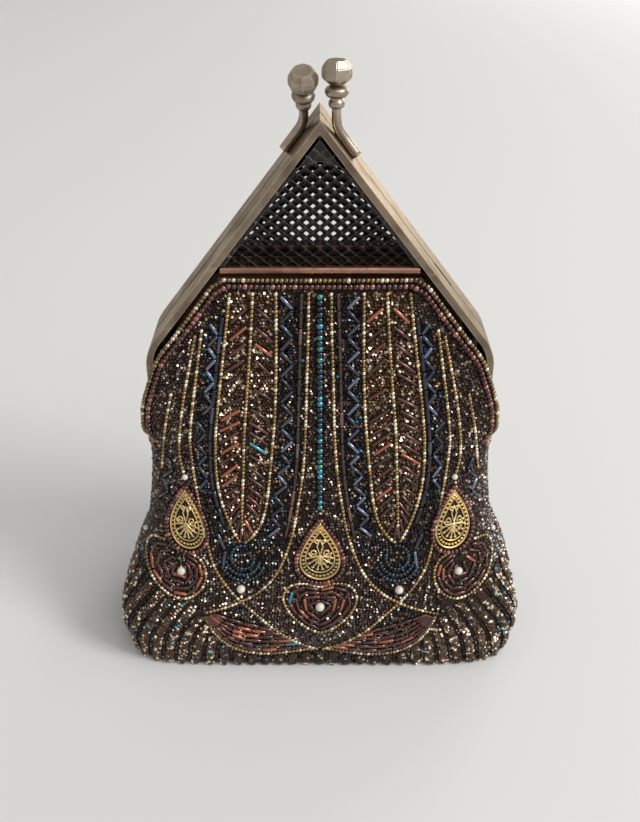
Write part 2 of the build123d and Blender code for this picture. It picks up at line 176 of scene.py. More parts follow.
# The rows of beads on a rib: how far each lies from its middle, and the height of its first bead
RIB_ROWS = ((-1.08, 1.2), (-0.36, 1.7), (0.36, 1.2), (1.08, 1.7))
# How far off the middle and the seams a rib has its full lean
LEAN_ACROSS = 45
LEAN_SEAM = 25
# The cord of a rib: its lowest point, the step between its points, and its lift off the cloth
CORD_FOOT = 1.0
CORD_STEP = 1.5
CORD_LIFT = 0.1
# The beads on a rib: half width of their curve, how far they sink in and stray, their step and lowest place
RIB_HALF = 1.5
RIB_SINK = 0.05
RIB_STRAY = 0.09
RIB_STEP = 1.0
RIB_LOWEST = 0.9
# Their mean radius as a share of the ground bead's, how much it varies, and their length, width and thickness
RIB_BEAD = 1.12
RIB_BEAD_SPREAD = 0.1
RIB_BEAD_SHAPE = np.array([[1.8, 1.0, 1.0]])
# The ribs this near to the middle are of darker beads: painted shade under the overhang of the pouch
SHADED_FOOT = 34.0
SEED = 20261128

taken_spots = []


def measure(name, words, value):
    """A length setting with its label, its meaning and its default in millimetres."""
    return FloatProperty(name=name, description=words, default=value * MM, unit="LENGTH", precision=5)


class BagSizes(bpy.types.PropertyGroup):
    """Sizes of beads, bugles and wire, in metres."""

    seed_radius: measure("Seed bead", "Radius of the gold line beads", 0.62)
    edge_radius: measure("Edge bead", "Radius of the beads along the flap edge", 0.92)
    column_radius: measure("Column bead", "Radius of the blue-green beads down the middle", 1.08)
    bugle_radius: measure("Bugle", "Radius of the tube-shaped beads", 0.62)
    ground_radius: measure("Ground bead", "Radius of the fine beads that cover the cloth", 0.52)
    ground_pitch: measure("Ground pitch", "Distance between fine beads", 1.04)
    slack: measure("Slack", "Depth of the soft dents in the cloth", 0.30)
    mesh_pitch: measure("Mesh pitch", "Width of one lozenge of the stretched metal", 4.1)
    mesh_row: measure("Mesh row", "Height from one row of lozenges to the next", 1.70)
    strand: measure("Strand", "Width of the stretched metal strands", 1.36)
    knob_facets: IntProperty(name="Knob facets", description="Number of sides of each clasp knob", default=8)


def colour(name, words, value):
    """A colour setting with its label, its meaning and its default."""
    return FloatVectorProperty(
        name=name, description=words, default=value, subtype="COLOR", size=3, min=0.0, max=1.0)


class BagColours(bpy.types.PropertyGroup):
    """Colours of the finishes."""

    brass: colour("Brass", "Antique brass of the frame", (0.265, 0.205, 0.145))
    clasp: colour("Clasp", "Paler brass of the clasp", (0.50, 0.41, 0.33))
    # tarnish, darkened, also paints the shade in the seam between the frame halves
    tarnish: colour("Tarnish", "Dark patches in the brass", (0.135, 0.102, 0.074))
    bright: colour("Worn brass", "Brass rubbed bright along edges", (0.62, 0.54, 0.42))
    copper: colour("Copper", "Rosy metal of the mesh rail", (0.41, 0.205, 0.15))
    soot: colour("Black metal", "Stretched metal mesh", (0.040, 0.037, 0.036))
    cloth: colour("Cloth", "Ground cloth under the beads", (0.021, 0.011, 0.008))
    lining: colour("Lining", "Satin inside the pouch", (0.17, 0.095, 0.050))
    gold: colour("Gold beads", "Gold-lined seed beads", (0.42, 0.265, 0.105))
    champagne: colour("Champagne", "Bright seed beads among the gold", (0.82, 0.70, 0.50))
    umber: colour("Umber", "Dark seed beads among the gold", (0.12, 0.058, 0.022))
    brown: colour("Brown beads", "Maroon-brown lustre beads", (0.115, 0.036, 0.028))
    rose: colour("Rose", "Brighter lustre beads among the brown", (0.30, 0.130, 0.100))
    maroon: colour("Maroon bugles", "Dark red tube beads", (0.105, 0.026, 0.016))
    ember: colour("Ember bugles", "Orange tube beads", (0.36, 0.105, 0.052))
    steel: colour("Steel bugles", "Steel-blue tube beads", (0.058, 0.070, 0.106))
    navy: colour("Navy bugles", "Dark blue tube beads", (0.012, 0.016, 0.034))
    teal: colour("Teal beads", "Blue-green beads", (0.009, 0.058, 0.088))
    deep_teal: colour("Deep teal", "Darkest of the blue-green beads", (0.004, 0.014, 0.030))
    jade: colour("Jade", "Brightest of the blue-green beads", (0.05, 0.22, 0.20))
    night: colour("Night beads", "Near-black ground beads", (0.016, 0.013, 0.013))
    plum: colour("Plum beads", "Purple-brown ground beads", (0.068, 0.036, 0.026))
    bronze: colour("Bronze beads", "Bronze glitter beads", (0.155, 0.081, 0.042))
    opal: colour("Opal beads", "Rare blue-green glints among the beads", (0.05, 0.26, 0.36))
    filigree: colour("Filigree", "Gold wire of the medallions", (0.74, 0.45, 0.115))
    gilt: colour("Gilt", "Gold wire rubbed bright", (1.0, 0.86, 0.52))
    pearl: colour("Pearl", "Pearl beads", (0.74, 0.68, 0.58))
    floor: colour("Floor", "Pale floor", (0.70, 0.69, 0.67))


def sizes():
    return bpy.context.scene.bag_sizes


# The cloth as a surface

def unit(vectors):
    return vectors / np.linalg.norm(vectors, axis=-1, keepdims=True)


def eased(heights, values, z):
    """A smooth curve through the values that never overshoots them."""
    gap = np.diff(heights)
    rise = np.diff(values) / gap
    slope = np.zeros(len(values))
    slope[0], slope[-1] = rise[0], rise[-1]
    same = rise[:-1] * rise[1:] > 0
    both = rise[:-1] + rise[1:]
    slope[1:-1][same] = 2 * (rise[:-1] * rise[1:])[same] / both[same]
    k = np.clip(np.searchsorted(heights, z, side="right") - 1, 0, len(gap) - 1)
    s = np.clip((z - heights[k]) / gap[k], 0, 1)
    s2, s3 = s * s, s**3
    return (
        (2 * s3 - 3 * s2 + 1) * values[k] + (s3 - 2 * s2 + s) * gap[k] * slope[k]
        + (3 * s2 - 2 * s3) * values[k + 1] + (s3 - s2) * gap[k] * slope[k + 1]
    )


SECTION_ROWS = np.array(SECTIONS).T
SWELL_ROWS = np.array(SWELL).T


def section(z):
    """Half width, half depth and squareness of the body at a height, in millimetres."""
    return tuple(eased(SECTION_ROWS[0], row, np.asarray(z, float)) for row in SECTION_ROWS[1:])


def turn_at(x, z):
    """The turn round the section at which the front lies over a place x, z."""
    wide, _, square = section(z)
    share = np.clip(np.abs(x) / wide, 0, 1)
    return np.arccos(np.clip(-np.sign(x) * share ** (square / 2), -1, 1))


def dents(x, level):
    """How far the slack cloth swells or sinks at a place, in three crossing waves, in millimetres."""
    fade = np.clip(level / DENT_FOOT, 0, 1) * np.clip((FLAP_TOP_Z - level) / DENT_TOP, 0, 1)
    wave = np.sin(x / 9.3 + level / 31) * np.sin(level / 17.0 + x / 40 + 0.7)
    wave = wave + 0.7 * np.sin(x / 15.7 - level / 11.0 + 1.9)
    return wave * fade * sizes().slack / MM


def skin(turn, z, inset=SINK):
    """Points of the cloth and the way out of it, in metres, from turn and height in millimetres."""
    turn, z = np.broadcast_arrays(np.asarray(turn, float), np.asarray(z, float))
    c, s = np.cos(turn), np.sin(turn)

    def ring(level):
        wide, deep, square = section(level)
        wide, deep = wide - inset, deep - inset
        x = -wide * np.sign(c) * np.abs(c) ** (2 / square)
        y = -deep * np.sign(s) * np.abs(s) ** (2 / square)
        gx = np.sign(x) * np.abs(x / wide) ** (square - 1) / wide
        gy = np.sign(y) * np.abs(y / deep) ** (square - 1) / deep
        size = np.hypot(gx, gy) + 1e-12
        gx, gy = gx / size, gy / size
        dent = dents(x, level)
        return np.stack([x + gx * dent, y + gy * dent, level], -1), gx, gy

    here, gx, gy = ring(z)
    step = 0.5
    rise = (ring(z + step)[0] - ring(z - step)[0]) / (2 * step)
    out = unit(np.cross(np.stack([-gy, gx, np.zeros_like(gx)], -1), rise))
    flip = np.sign(out[..., 0] * gx + out[..., 1] * gy)[..., None]
    return here * MM, out * np.where(flip == 0, 1, flip)


def on_skin(places):
    """Points on the cloth and the way out of it, for places given as turn and height."""
    return skin(places[:, 0], places[:, 1])


def on_front(places):
    """Points on the front and the way out of it, for places x, z in millimetres."""
    places = np.asarray(places, float)
    return skin(turn_at(places[:, 0], places[:, 1]), places[:, 1])


def girth(z, count=900):
    """Turns round the front half of a section, the length so far and the place across, at even directions."""
    wide, deep, square = section(z)
    way = np.linspace(0, pi, count)
    c, s = -np.cos(way), np.sin(way)
    reach = (np.abs(c / wide) ** square + np.abs(s / deep) ** square) ** (-1 / square)
    x, y = reach * c, reach * s
    turn = np.arctan2((y / deep) ** (square / 2), -np.sign(x) * np.abs(x / wide) ** (square / 2))
    return turn, run_length(np.stack([x, y], 1)), x


def flap_half(z, inset=0.0, loose=True):
    """Half width of the flap at a height, drawn in from the frame; the loose cloth swells over the legs."""
    z = np.asarray(z, float)
    if loose:
        swell = eased(*SWELL_ROWS, np.clip(z, SWELL_ROWS[0, 0], SWELL_ROWS[0, -1]))
        return flap_half(z, inset, False) + swell
    drawn = FLAP_INSET + inset
    wall = FRAME_HALF - drawn
    slope = tan(ARM)
    arm = (APEX_Z - z) / slope - drawn / sin(ARM)
    radius = BEND_RADIUS - drawn
    knee = APEX_Z - slope * (wall + drawn / sin(ARM))
    low = knee - radius * tan((pi / 2 - ARM) / 2)
    high = low + radius * sin(pi / 2 - ARM)
    bend = wall - radius + np.sqrt(np.clip(radius**2 - (z - low) ** 2, 0, None))
    return np.where(z < low, wall, np.where(z > high, arm, bend))


# Meshes

class Shape:
    """A small mesh along its own X axis that is set down many times."""

    def __init__(self, points, faces, smooth):
        self.points = np.array(points, float)
        self.loops = np.array([i for f in faces for i in f], int)
        self.sides = np.array([len(f) for f in faces], int)
        self.smooth = smooth


def quads(low, high):
    """Faces between two rows of vertex numbers."""
    return list(zip(low, low[1:], high[1:], high))


def tube_faces(rows, sides, closed=False):
    """Faces round a tube of rings, which runs back into itself or has a flat end on either side."""
    rings = [list(range(row * sides, (row + 1) * sides)) for row in range(rows)]
    faces = []
    for low, high in zip(rings, rings[1:] + (rings[:1] if closed else [])):
        faces += quads(low + low[:1], high + high[:1])
    if not closed:
        faces += [tuple(reversed(rings[0])), tuple(rings[-1])]
    return faces


def turned(profile, sides, smooth=True):
    """A turned shape along X from places along and radius, closed at both ends."""
    ways = [2 * pi * side / sides for side in range(sides)]
    points = [(along, radius * cos(way), radius * sin(way)) for along, radius in profile for way in ways]
    return Shape(points, tube_faces(len(profile), sides), smooth)


ROUND_BEAD = turned(((-0.5, 0.44), (-0.33, 0.88), (0.0, 1.0), (0.33, 0.88), (0.5, 0.44)), 7)
CUT_BEAD = turned(((-0.5, 0.55), (-0.15, 1.0), (0.2, 0.96), (0.5, 0.5)), 5, smooth=False)
FINE_BEAD = turned(((-0.5, 0.5), (-0.05, 1.0), (0.5, 0.45)), 4, smooth=False)
TUBE_BEAD = turned(((-0.5, 0.72), (-0.47, 1.0), (0.47, 1.0), (0.5, 0.72)), 7)
PEARL_BEAD = turned(tuple((0.5 * sin(a), cos(a)) for a in np.linspace(-1.4, 1.4, 11)), 18)
STRAND = Shape(np.zeros((8, 3)), tube_faces(2, 4), False)


def set_down(shape, centre, along, up, size):
    """A shape and its points at each centre, its X axis along and its top up; sizes are x, y, z."""
    along = unit(along)
    side = unit(np.cross(up, along))
    frame_of = np.stack([along, side, np.cross(along, side)], axis=2)
    size = np.broadcast_to(np.asarray(size, float), (len(centre), 3))
    local = shape.points[None] * size[:, None, :]
    return shape, np.einsum("nij,nvj->nvi", frame_of, local) + centre[:, None]


def loose_mesh(points, faces, smooth=True):
    """One mesh given as its own shape, so that it can be joined with set down beads."""
    shape = Shape(points, faces, smooth)
    return shape, shape.points[None]


def wire(points, radius, sides=6, closed=False):
    """A round wire through points in metres, as a loose mesh."""
    points = np.asarray(points, float)
    ahead = np.roll(points, -1, 0) - np.roll(points, 1, 0)
    if not closed:
        ahead[0], ahead[-1] = points[1] - points[0], points[-1] - points[-2]
    up = np.array([0.3, -0.8, 0.52])
    verts = []
    for point, way, thick in zip(points, unit(ahead), np.broadcast_to(radius, len(points))):
        up = unit(up - way * up.dot(way))
        side = np.cross(way, up)
        for a in 2 * pi * np.arange(sides) / sides:
            verts.append(point + thick * (up * cos(a) + side * sin(a)))
    return loose_mesh(verts, tube_faces(len(points), sides, closed))


def mesh_of(name, groups):
    """A mesh from shapes set down, given as pairs of shape and points."""
    points, loops, sides, smooth, base = [], [], [], [], 0
    for shape, placed in groups:
        count, each = placed.shape[:2]
        points.append(placed.reshape(-1, 3))
        steps = base + np.arange(count)[:, None] * each
        loops.append((shape.loops[None] + steps).ravel())
        sides.append(np.tile(shape.sides, count))
        smooth.append(np.full(count * len(shape.sides), shape.smooth))
        base += count * each
    points, loops, sides = np.concatenate(points), np.concatenate(loops), np.concatenate(sides)
    mesh = bpy.data.meshes.new(name)
    mesh.vertices.add(len(points))
    mesh.vertices.foreach_set("co", points.astype(np.float32).ravel())
    mesh.loops.add(len(loops))
    mesh.loops.foreach_set("vertex_index", loops.astype(np.int32))
    mesh.polygons.add(len(sides))
    starts = np.concatenate([[0], np.cumsum(sides)[:-1]]).astype(np.int32)
    mesh.polygons.foreach_set("loop_start", starts)
    mesh.update(calc_edges=True)
    mesh.polygons.foreach_set("use_smooth", np.concatenate(smooth))
    mesh.validate()
    return mesh


def place(name, mesh, finish):
    """An object of a mesh in one finish."""
    mesh.materials.clear()
    mesh.materials.append(finish_of(finish))
    thing = bpy.data.objects.new(name, mesh)
    bpy.context.scene.collection.objects.link(thing)
    return thing


def turned_back(groups):
    """The same groups turned half round, for the rear of the bag."""
    return [(shape, points * HALF_TURN) for shape, points in groups]


def both_faces(name, groups, finish, slot, node=None):
    """A front piece and a rear piece, turned half round."""
    for face, laid in (("front", groups), ("rear", turned_back(groups))):
        title = face + "_" + name
        thing = place(title, mesh_of(title, laid), finish)
        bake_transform(thing)
        if node:
            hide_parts(face + "_" + node)


def on_half(face, title, mesh, finish, node):
    """A rigid piece that rides a half of the frame."""
    thing = place(title, mesh, finish)
    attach(thing, face + "_half")
    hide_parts(face + "_" + node)


# Lines of beads

# How far the middle of a bead lies off the cloth, as a share of its radius
BEAD_LIFT = 0.72
TUBE_LIFT = 0.85
# How much beads vary in their slant, thickness and length, and the length of one as a share of its pitch
SLANT_SPREAD = 0.07
PLUMP_SPREAD = 0.06
RIM_SPREAD = 0.05
LENGTH_SPREAD = 0.05
TUBE_SPREAD = 0.05
LENGTH_SHARE = 0.97
# How far before and after a bead its run is read for the way along, as a share of the pitch
WAY_STEP = 0.4
# Where on a tube bead the ground beads are kept away
TUBE_SPOTS = np.linspace(-0.5, 0.5, 7)


def curve(places, fine=14):
    """A smooth run through places, as dense points."""
    places = np.array(places, float)
    ends = np.concatenate([[2 * places[0] - places[1]], places, [2 * places[-1] - places[-2]]])
    s = np.linspace(0, 1, fine, endpoint=False)[:, None]
    run = []
    for a, b, c, d in zip(ends, ends[1:], ends[2:], ends[3:]):
        run.append(0.5 * (2 * b + (c - a) * s + (2 * a - 5 * b + 4 * c - d) * s**2
                          + (3 * b - 3 * c + d - a) * s**3))
    return np.concatenate(run + [places[-1:]])


def run_length(points):
    """The length of a run so far, at each of its points."""
    return np.concatenate([[0], np.cumsum(np.linalg.norm(np.diff(points, axis=0), axis=1))])


def read_at(where, length, values):
    """Values along a run, read at lengths."""
    return np.stack([np.interp(where, length, column) for column in values.T], 1)


def thread(places, surface, radius, pitch):
    """Middles of beads at even steps along dense places on a surface, the way along and the way out."""
    points, _ = surface(places)
    length = run_length(points)
    count = max(2, int(round(length[-1] / pitch)))
    at = (np.arange(count) + 0.5) * length[-1] / count
    step = pitch * WAY_STEP
    way = read_at(at + step, length, points) - read_at(at - step, length, points)
    spot, out = surface(read_at(at, length, places))
    return spot + out * radius * BEAD_LIFT, way, out


def sides_of(places):
    """A run and its mirror image."""
    places = np.array(places, float)
    return [places, places * MIRROR]


def mirrored(runs):
    """Runs, each followed by its mirror image."""
    return [side for run in runs for side in sides_of(run)]


def mark(points, radius):
    """Keep the fine beads of the ground away from these points."""
    taken_spots.append((np.asarray(points), radius))


def string(runs, radius, pitch, rng, smooth=True):
    """Round beads threaded along runs of places on the front."""
    dense = [curve(run) if smooth else np.array(run, float) for run in runs]
    centre, way, up = map(np.concatenate, zip(*[thread(run, on_front, radius, pitch) for run in dense]))
    mark(centre, radius)
    count = len(centre)
    way = unit(way) + rng.normal(0, SLANT_SPREAD, (count, 3))
    plump = radius * rng.normal(1, PLUMP_SPREAD, count)
    size = np.stack([pitch * rng.normal(LENGTH_SHARE, LENGTH_SPREAD, count), plump, plump], 1)
    return set_down(ROUND_BEAD, centre, way, up, size)


def rim_beads(drop, radius, pitch, rng):
    """Round beads along both sides of the pouch rim, from the flap edge round to the seam."""
    turn, _, across = girth(RIM_Z - drop)
    turn = turn[across < -float(flap_half(RIM_Z))][::-1]
    level = np.full(len(turn), RIM_Z - drop)
    runs = [np.stack([way, level], 1) for way in (turn, pi - turn)]
    centre, way, up = map(np.concatenate, zip(*[thread(run, on_skin, radius, pitch) for run in runs]))
    mark(centre, radius)
    plump = radius * rng.normal(1, RIM_SPREAD, len(centre))
    size = np.stack([np.full(len(centre), pitch * LENGTH_SHARE), plump, plump], 1)
    return set_down(ROUND_BEAD, centre, way, up, size)


def tubes(pairs, radius, rng, spare=0.94):
    """Tube beads laid from place to place on the front, on both sides of its middle."""
    pairs = np.concatenate(sides_of(pairs))
    start, _ = on_front(pairs[:, 0])
    end, _ = on_front(pairs[:, 1])
    _, up = on_front(pairs.mean(axis=1))
    middle = (start + end) / 2 + up * radius * TUBE_LIFT
    way = end - start
    for share in TUBE_SPOTS:
        mark(middle + way * share, radius)
    thick = radius * rng.normal(1, TUBE_SPREAD, len(pairs))
    size = np.stack([np.linalg.norm(way, axis=1) * spare, thick, thick], 1)
    return set_down(TUBE_BEAD, middle, way, up, size)


def joints(line):
    """Pairs of neighbouring places on a line."""
    return np.stack([line[:-1], line[1:]], 1)


def zigzag(top, foot, turns, swing):
    """Pairs of places for tube beads set end to end at a slant."""
    steps = np.linspace(0, 1, turns * 2 + 1)[:, None]
    line = np.array(top) + (np.array(foot) - np.array(top)) * steps
    line[:, 0] += swing * (-1) ** np.arange(len(line))
    return joints(line)


def end_to_end(dense, pitch):
    """Pairs of places for tube beads set end to end along dense places."""
    length = run_length(dense)
    at = np.linspace(0, length[-1], max(2, int(length[-1] / pitch) + 1))
    return joints(read_at(at, length, dense))


# Finishes

def feed(tree, sockets, values):
    """Sockets by name or number, each linked to another socket or given a constant."""
    for key, value in values.items():
        if isinstance(value, bpy.types.NodeSocket):
            tree.links.new(value, sockets[key])
        else:
            sockets[key].default_value = value


def add(tree, kind, inputs=None, **settings):
    """A shader node with its settings, and its inputs linked or given constants."""
    made = tree.nodes.new("ShaderNode" + kind)
    for key, value in settings.items():
        setattr(made, key, value)
    feed(tree, made.inputs, inputs or {})
    return made


def mixed(tree, share, first, second):
    """A colour between two, by a share."""
    return add(tree, "Mix", {0: share, 6: first, 7: second}, data_type="RGBA").outputs[2]


def maths(tree, operation, *values, clamp=False):
    return add(tree, "Math", dict(enumerate(values)), operation=operation, use_clamp=clamp).outputs[0]


def ranged(tree, *values):
    """A value carried from one range to another: the value, from low, from high, to low, to high."""
    return add(tree, "MapRange", dict(enumerate(values))).outputs["Result"]


def own_place(tree):
    return add(tree, "TexCoord").outputs["Object"]


def noise(tree, scale, detail=3.0, stretch=None):
    """A noise over the object's own place."""
    where = own_place(tree)
    if stretch:
        where = add(tree, "Mapping", {"Vector": where, "Scale": stretch}).outputs["Vector"]
    return add(tree, "TexNoise", {"Vector": where, "Scale": scale, "Detail": detail}).outputs["Fac"]


def bump(tree, height, strength, distance):
    made = add(tree, "Bump", {"Height": height, "Strength": strength, "Distance": distance})
    return made.outputs["Normal"]


def group(name, outputs, inputs):
    """An empty shader group with named sockets: the tree, what comes in and what goes out."""
    tree = bpy.data.node_groups.new(name, "ShaderNodeTree")
    for title, value in inputs.items():
        kind = "NodeSocketColor" if isinstance(value, tuple) else "NodeSocketFloat"
        tree.interface.new_socket(title, in_out="INPUT", socket_type=kind).default_value = value
    for title in outputs:
        kind = "NodeSocketColor" if title == "Color" else "NodeSocketFloat"
        tree.interface.new_socket(title, in_out="OUTPUT", socket_type=kind)
    return tree, tree.nodes.new("NodeGroupInput").outputs, tree.nodes.new("NodeGroupOutput").inputs


def patina_group():
    """Tarnish clouds, fine specks, rubbed edges and scratches for old metal."""
    tree, start, end = group("Metal patina", ("Color", "Roughness", "Height"), {
        "Metal": (0.4, 0.3, 0.2, 1), "Tarnish": (0.1, 0.08, 0.05, 1), "Rubbed": (0.7, 0.6, 0.4, 1),
        "Edge": 0.0004})
    cloud = ranged(tree, noise(tree, 95.0, 5.0), 0.40, 0.70, 0.0, 1.0)
    speck = ranged(tree, noise(tree, 900.0, 2.0), 0.56, 0.72, 0.0, 0.6)
    scratch = ranged(tree, noise(tree, 260.0, 3.0, (0.25, 3.0, 1.2)), 0.60, 0.74, 0.0, 0.25)
    edge = add(tree, "Bevel", {"Radius": start["Edge"]}).outputs["Normal"]
    facing = add(tree, "NewGeometry").outputs["True Normal"]
    turn = add(tree, "VectorMath", {0: edge, 1: facing}, operation="DOT_PRODUCT").outputs["Value"]
    rubbed = ranged(tree, turn, 0.99, 0.86, 0.0, 0.85)
    stain = mixed(tree, maths(tree, "MAXIMUM", cloud, speck), start["Metal"], start["Tarnish"])
    rough = maths(tree, "MULTIPLY_ADD", cloud, 0.20, 0.27)
    feed(tree, end, {
        "Color": mixed(tree, maths(tree, "MAXIMUM", rubbed, scratch), stain, start["Rubbed"]),
        "Roughness": maths(tree, "SUBTRACT", rough, maths(tree, "MULTIPLY", rubbed, 0.07)),
        "Height": maths(tree, "ADD", speck, scratch)})
    return tree


def lustre_group():
    """Colour and gloss that change from bead to bead."""
    tree, start, end = group("Bead lustre", ("Color", "Roughness"), {
        "Deep": (0.1, 0.05, 0.02, 1), "Body": (0.4, 0.2, 0.1, 1), "Spark": (0.8, 0.6, 0.4, 1),
        "Spark Share": 0.2, "Glint": (0.1, 0.4, 0.5, 1), "Glint Share": 0.0})
    chance = add(tree, "NewGeometry").outputs["Random Per Island"]
    second, third, fourth = (
        maths(tree, "FRACT", maths(tree, "MULTIPLY", chance, by)) for by in (37.7, 91.3, 173.9))
    drift = ranged(tree, noise(tree, 140.0, 2.0), 0.35, 0.65, -0.25, 0.25)
    body = mixed(tree, maths(tree, "ADD", chance, drift, clamp=True), start["Deep"], start["Body"])
    lit = maths(tree, "LESS_THAN", second, start["Spark Share"])
    rare = maths(tree, "LESS_THAN", fourth, start["Glint Share"])
    feed(tree, end, {
        "Color": mixed(tree, rare, mixed(tree, lit, body, start["Spark"]), start["Glint"]),
        "Roughness": ranged(tree, third, 0.0, 1.0, 0.10, 0.30)})
    return tree


def weave_group():
    """Crossing threads for cloth."""
    tree, start, end = group("Woven threads", ("Color", "Height"), {
        "Thread": (0.1, 0.1, 0.1, 1), "Gap": (0.02, 0.02, 0.02, 1), "Count": 2000.0})
    where = add(tree, "SeparateXYZ", {0: own_place(tree)}).outputs
    waves = []
    for axis in ("X", "Z"):
        along = maths(tree, "MULTIPLY", where[axis], start["Count"])
        waves.append(maths(tree, "ABSOLUTE", maths(tree, "SINE", along)))
    height = maths(tree, "MAXIMUM", *waves)
    worn = maths(tree, "MULTIPLY", height, ranged(tree, noise(tree, 120.0), 0.3, 0.7, 0.75, 1.0))
    feed(tree, end, {"Color": mixed(tree, worn, start["Gap"], start["Thread"]), "Height": height})
    return tree


GROUPS = {}


def uses(tree, maker, inputs):
    """A shared group, made the first time it is asked for, placed in a material with its own values."""
    if maker not in GROUPS:
        GROUPS[maker] = maker()
    return add(tree, "Group", inputs, node_tree=GROUPS[maker]).outputs


def shade(words):
    """A colour of the settings by name, with its strength after it where that isn't 1."""
    name, _, by = words.partition(" ")
    parts = getattr(bpy.context.scene.bag_colours, name)
    return (*(min(1.0, part * float(by or 1)) for part in parts), 1.0)


def blank(name, values):
    """A new material, its tree and its shader's sockets, with constant values on them."""
    material = bpy.data.materials.new(name)
    material.use_nodes = True
    tree = material.node_tree
    shader = next(n for n in tree.nodes if n.type == "BSDF_PRINCIPLED").inputs
    feed(tree, shader, values)
    return material, tree, shader


def metal(name, base, dark, worn, edge, strength=0.25, seam=0.0, seam_shade=None):
    """Old metal: tarnished in clouds, rubbed bright along its edges, with a dark dull line of painted shade
    in the seam between the halves.
    """
    material, tree, shader = blank(name, {"Metallic": 1.0, "Specular Tint": (0.80, 0.73, 0.64, 1.0)})
    made = uses(tree, patina_group, {
        "Metal": shade(base), "Tarnish": shade(dark), "Rubbed": shade(worn), "Edge": edge})
    tone, rough = made["Color"], made["Roughness"]
    if seam:
        # painted shade: a dark, dull, non-metal band along the seam stands in for the shadow in the gap
        # between the frame halves
        where = add(tree, "SeparateXYZ", {0: own_place(tree)}).outputs
        line = ranged(tree, maths(tree, "ABSOLUTE", where["Y"]), seam * 0.6, seam, 1.0, 0.0)
        tone = mixed(tree, line, tone, shade(seam_shade))
        rough = maths(tree, "MAXIMUM", rough, line)
        feed(tree, shader, {"Metallic": maths(tree, "SUBTRACT", 1.0, line)})
    normal = bump(tree, made["Height"], strength, 0.00008)
    feed(tree, shader, {"Base Color": tone, "Roughness": rough, "Normal": normal})
    return material


def glass(name, deep, body, spark, share, metallic=0.75, coat=0.6, film=0.0, rare=0.0):
    """Lined glass beads, each with its own tone and gloss."""
    material, tree, shader = blank(name, {
        "Metallic": metallic, "Coat Weight": coat, "Coat Roughness": 0.06, "Thin Film Thickness": film,
        "Thin Film IOR": 1.45})
    made = uses(tree, lustre_group, {
        "Deep": shade(deep), "Body": shade(body), "Spark": shade(spark), "Spark Share": share,
        "Glint": shade("opal"), "Glint Share": rare})
    feed(tree, shader, {"Base Color": made["Color"], "Roughness": made["Roughness"]})
    return material


def woven(name, thread, gap, count, rough, sheen):
    """Woven cloth with a thread pattern and a little sheen."""
    material, tree, shader = blank(name, {"Roughness": rough, "Sheen Weight": sheen, "Sheen Roughness": 0.4})
    made = uses(tree, weave_group, {"Thread": shade(thread), "Gap": shade(gap), "Count": count})
    feed(tree, shader, {"Base Color": made["Color"], "Normal": bump(tree, made["Height"], 0.5, 0.00015)})
    return material


def pearly(name):
    """Pearl: cloudy, with a soft coat."""
    material, tree, shader = blank(name, {
        "Coat Weight": 0.8, "Coat Roughness": 0.1, "Subsurface Weight": 0.15, "Subsurface Scale": 0.001})
    cloud = ranged(tree, noise(tree, 700.0, 2.0), 0.35, 0.65, 0.0, 1.0)
    feed(tree, shader, {
        "Base Color": mixed(tree, cloud, shade("pearl 0.82"), shade("pearl")),
        "Roughness": ranged(tree, cloud, 0.0, 1.0, 0.22, 0.34)})
    return material


def plain(name):
    """Plain pale floor with the faintest mottle."""
    material, tree, shader = blank(name, {"Roughness": 0.9})
    tone = mixed(tree, noise(tree, 3.0, 2.0), shade("floor 0.985"), shade("floor"))
    feed(tree, shader, {"Base Color": tone})
    return material


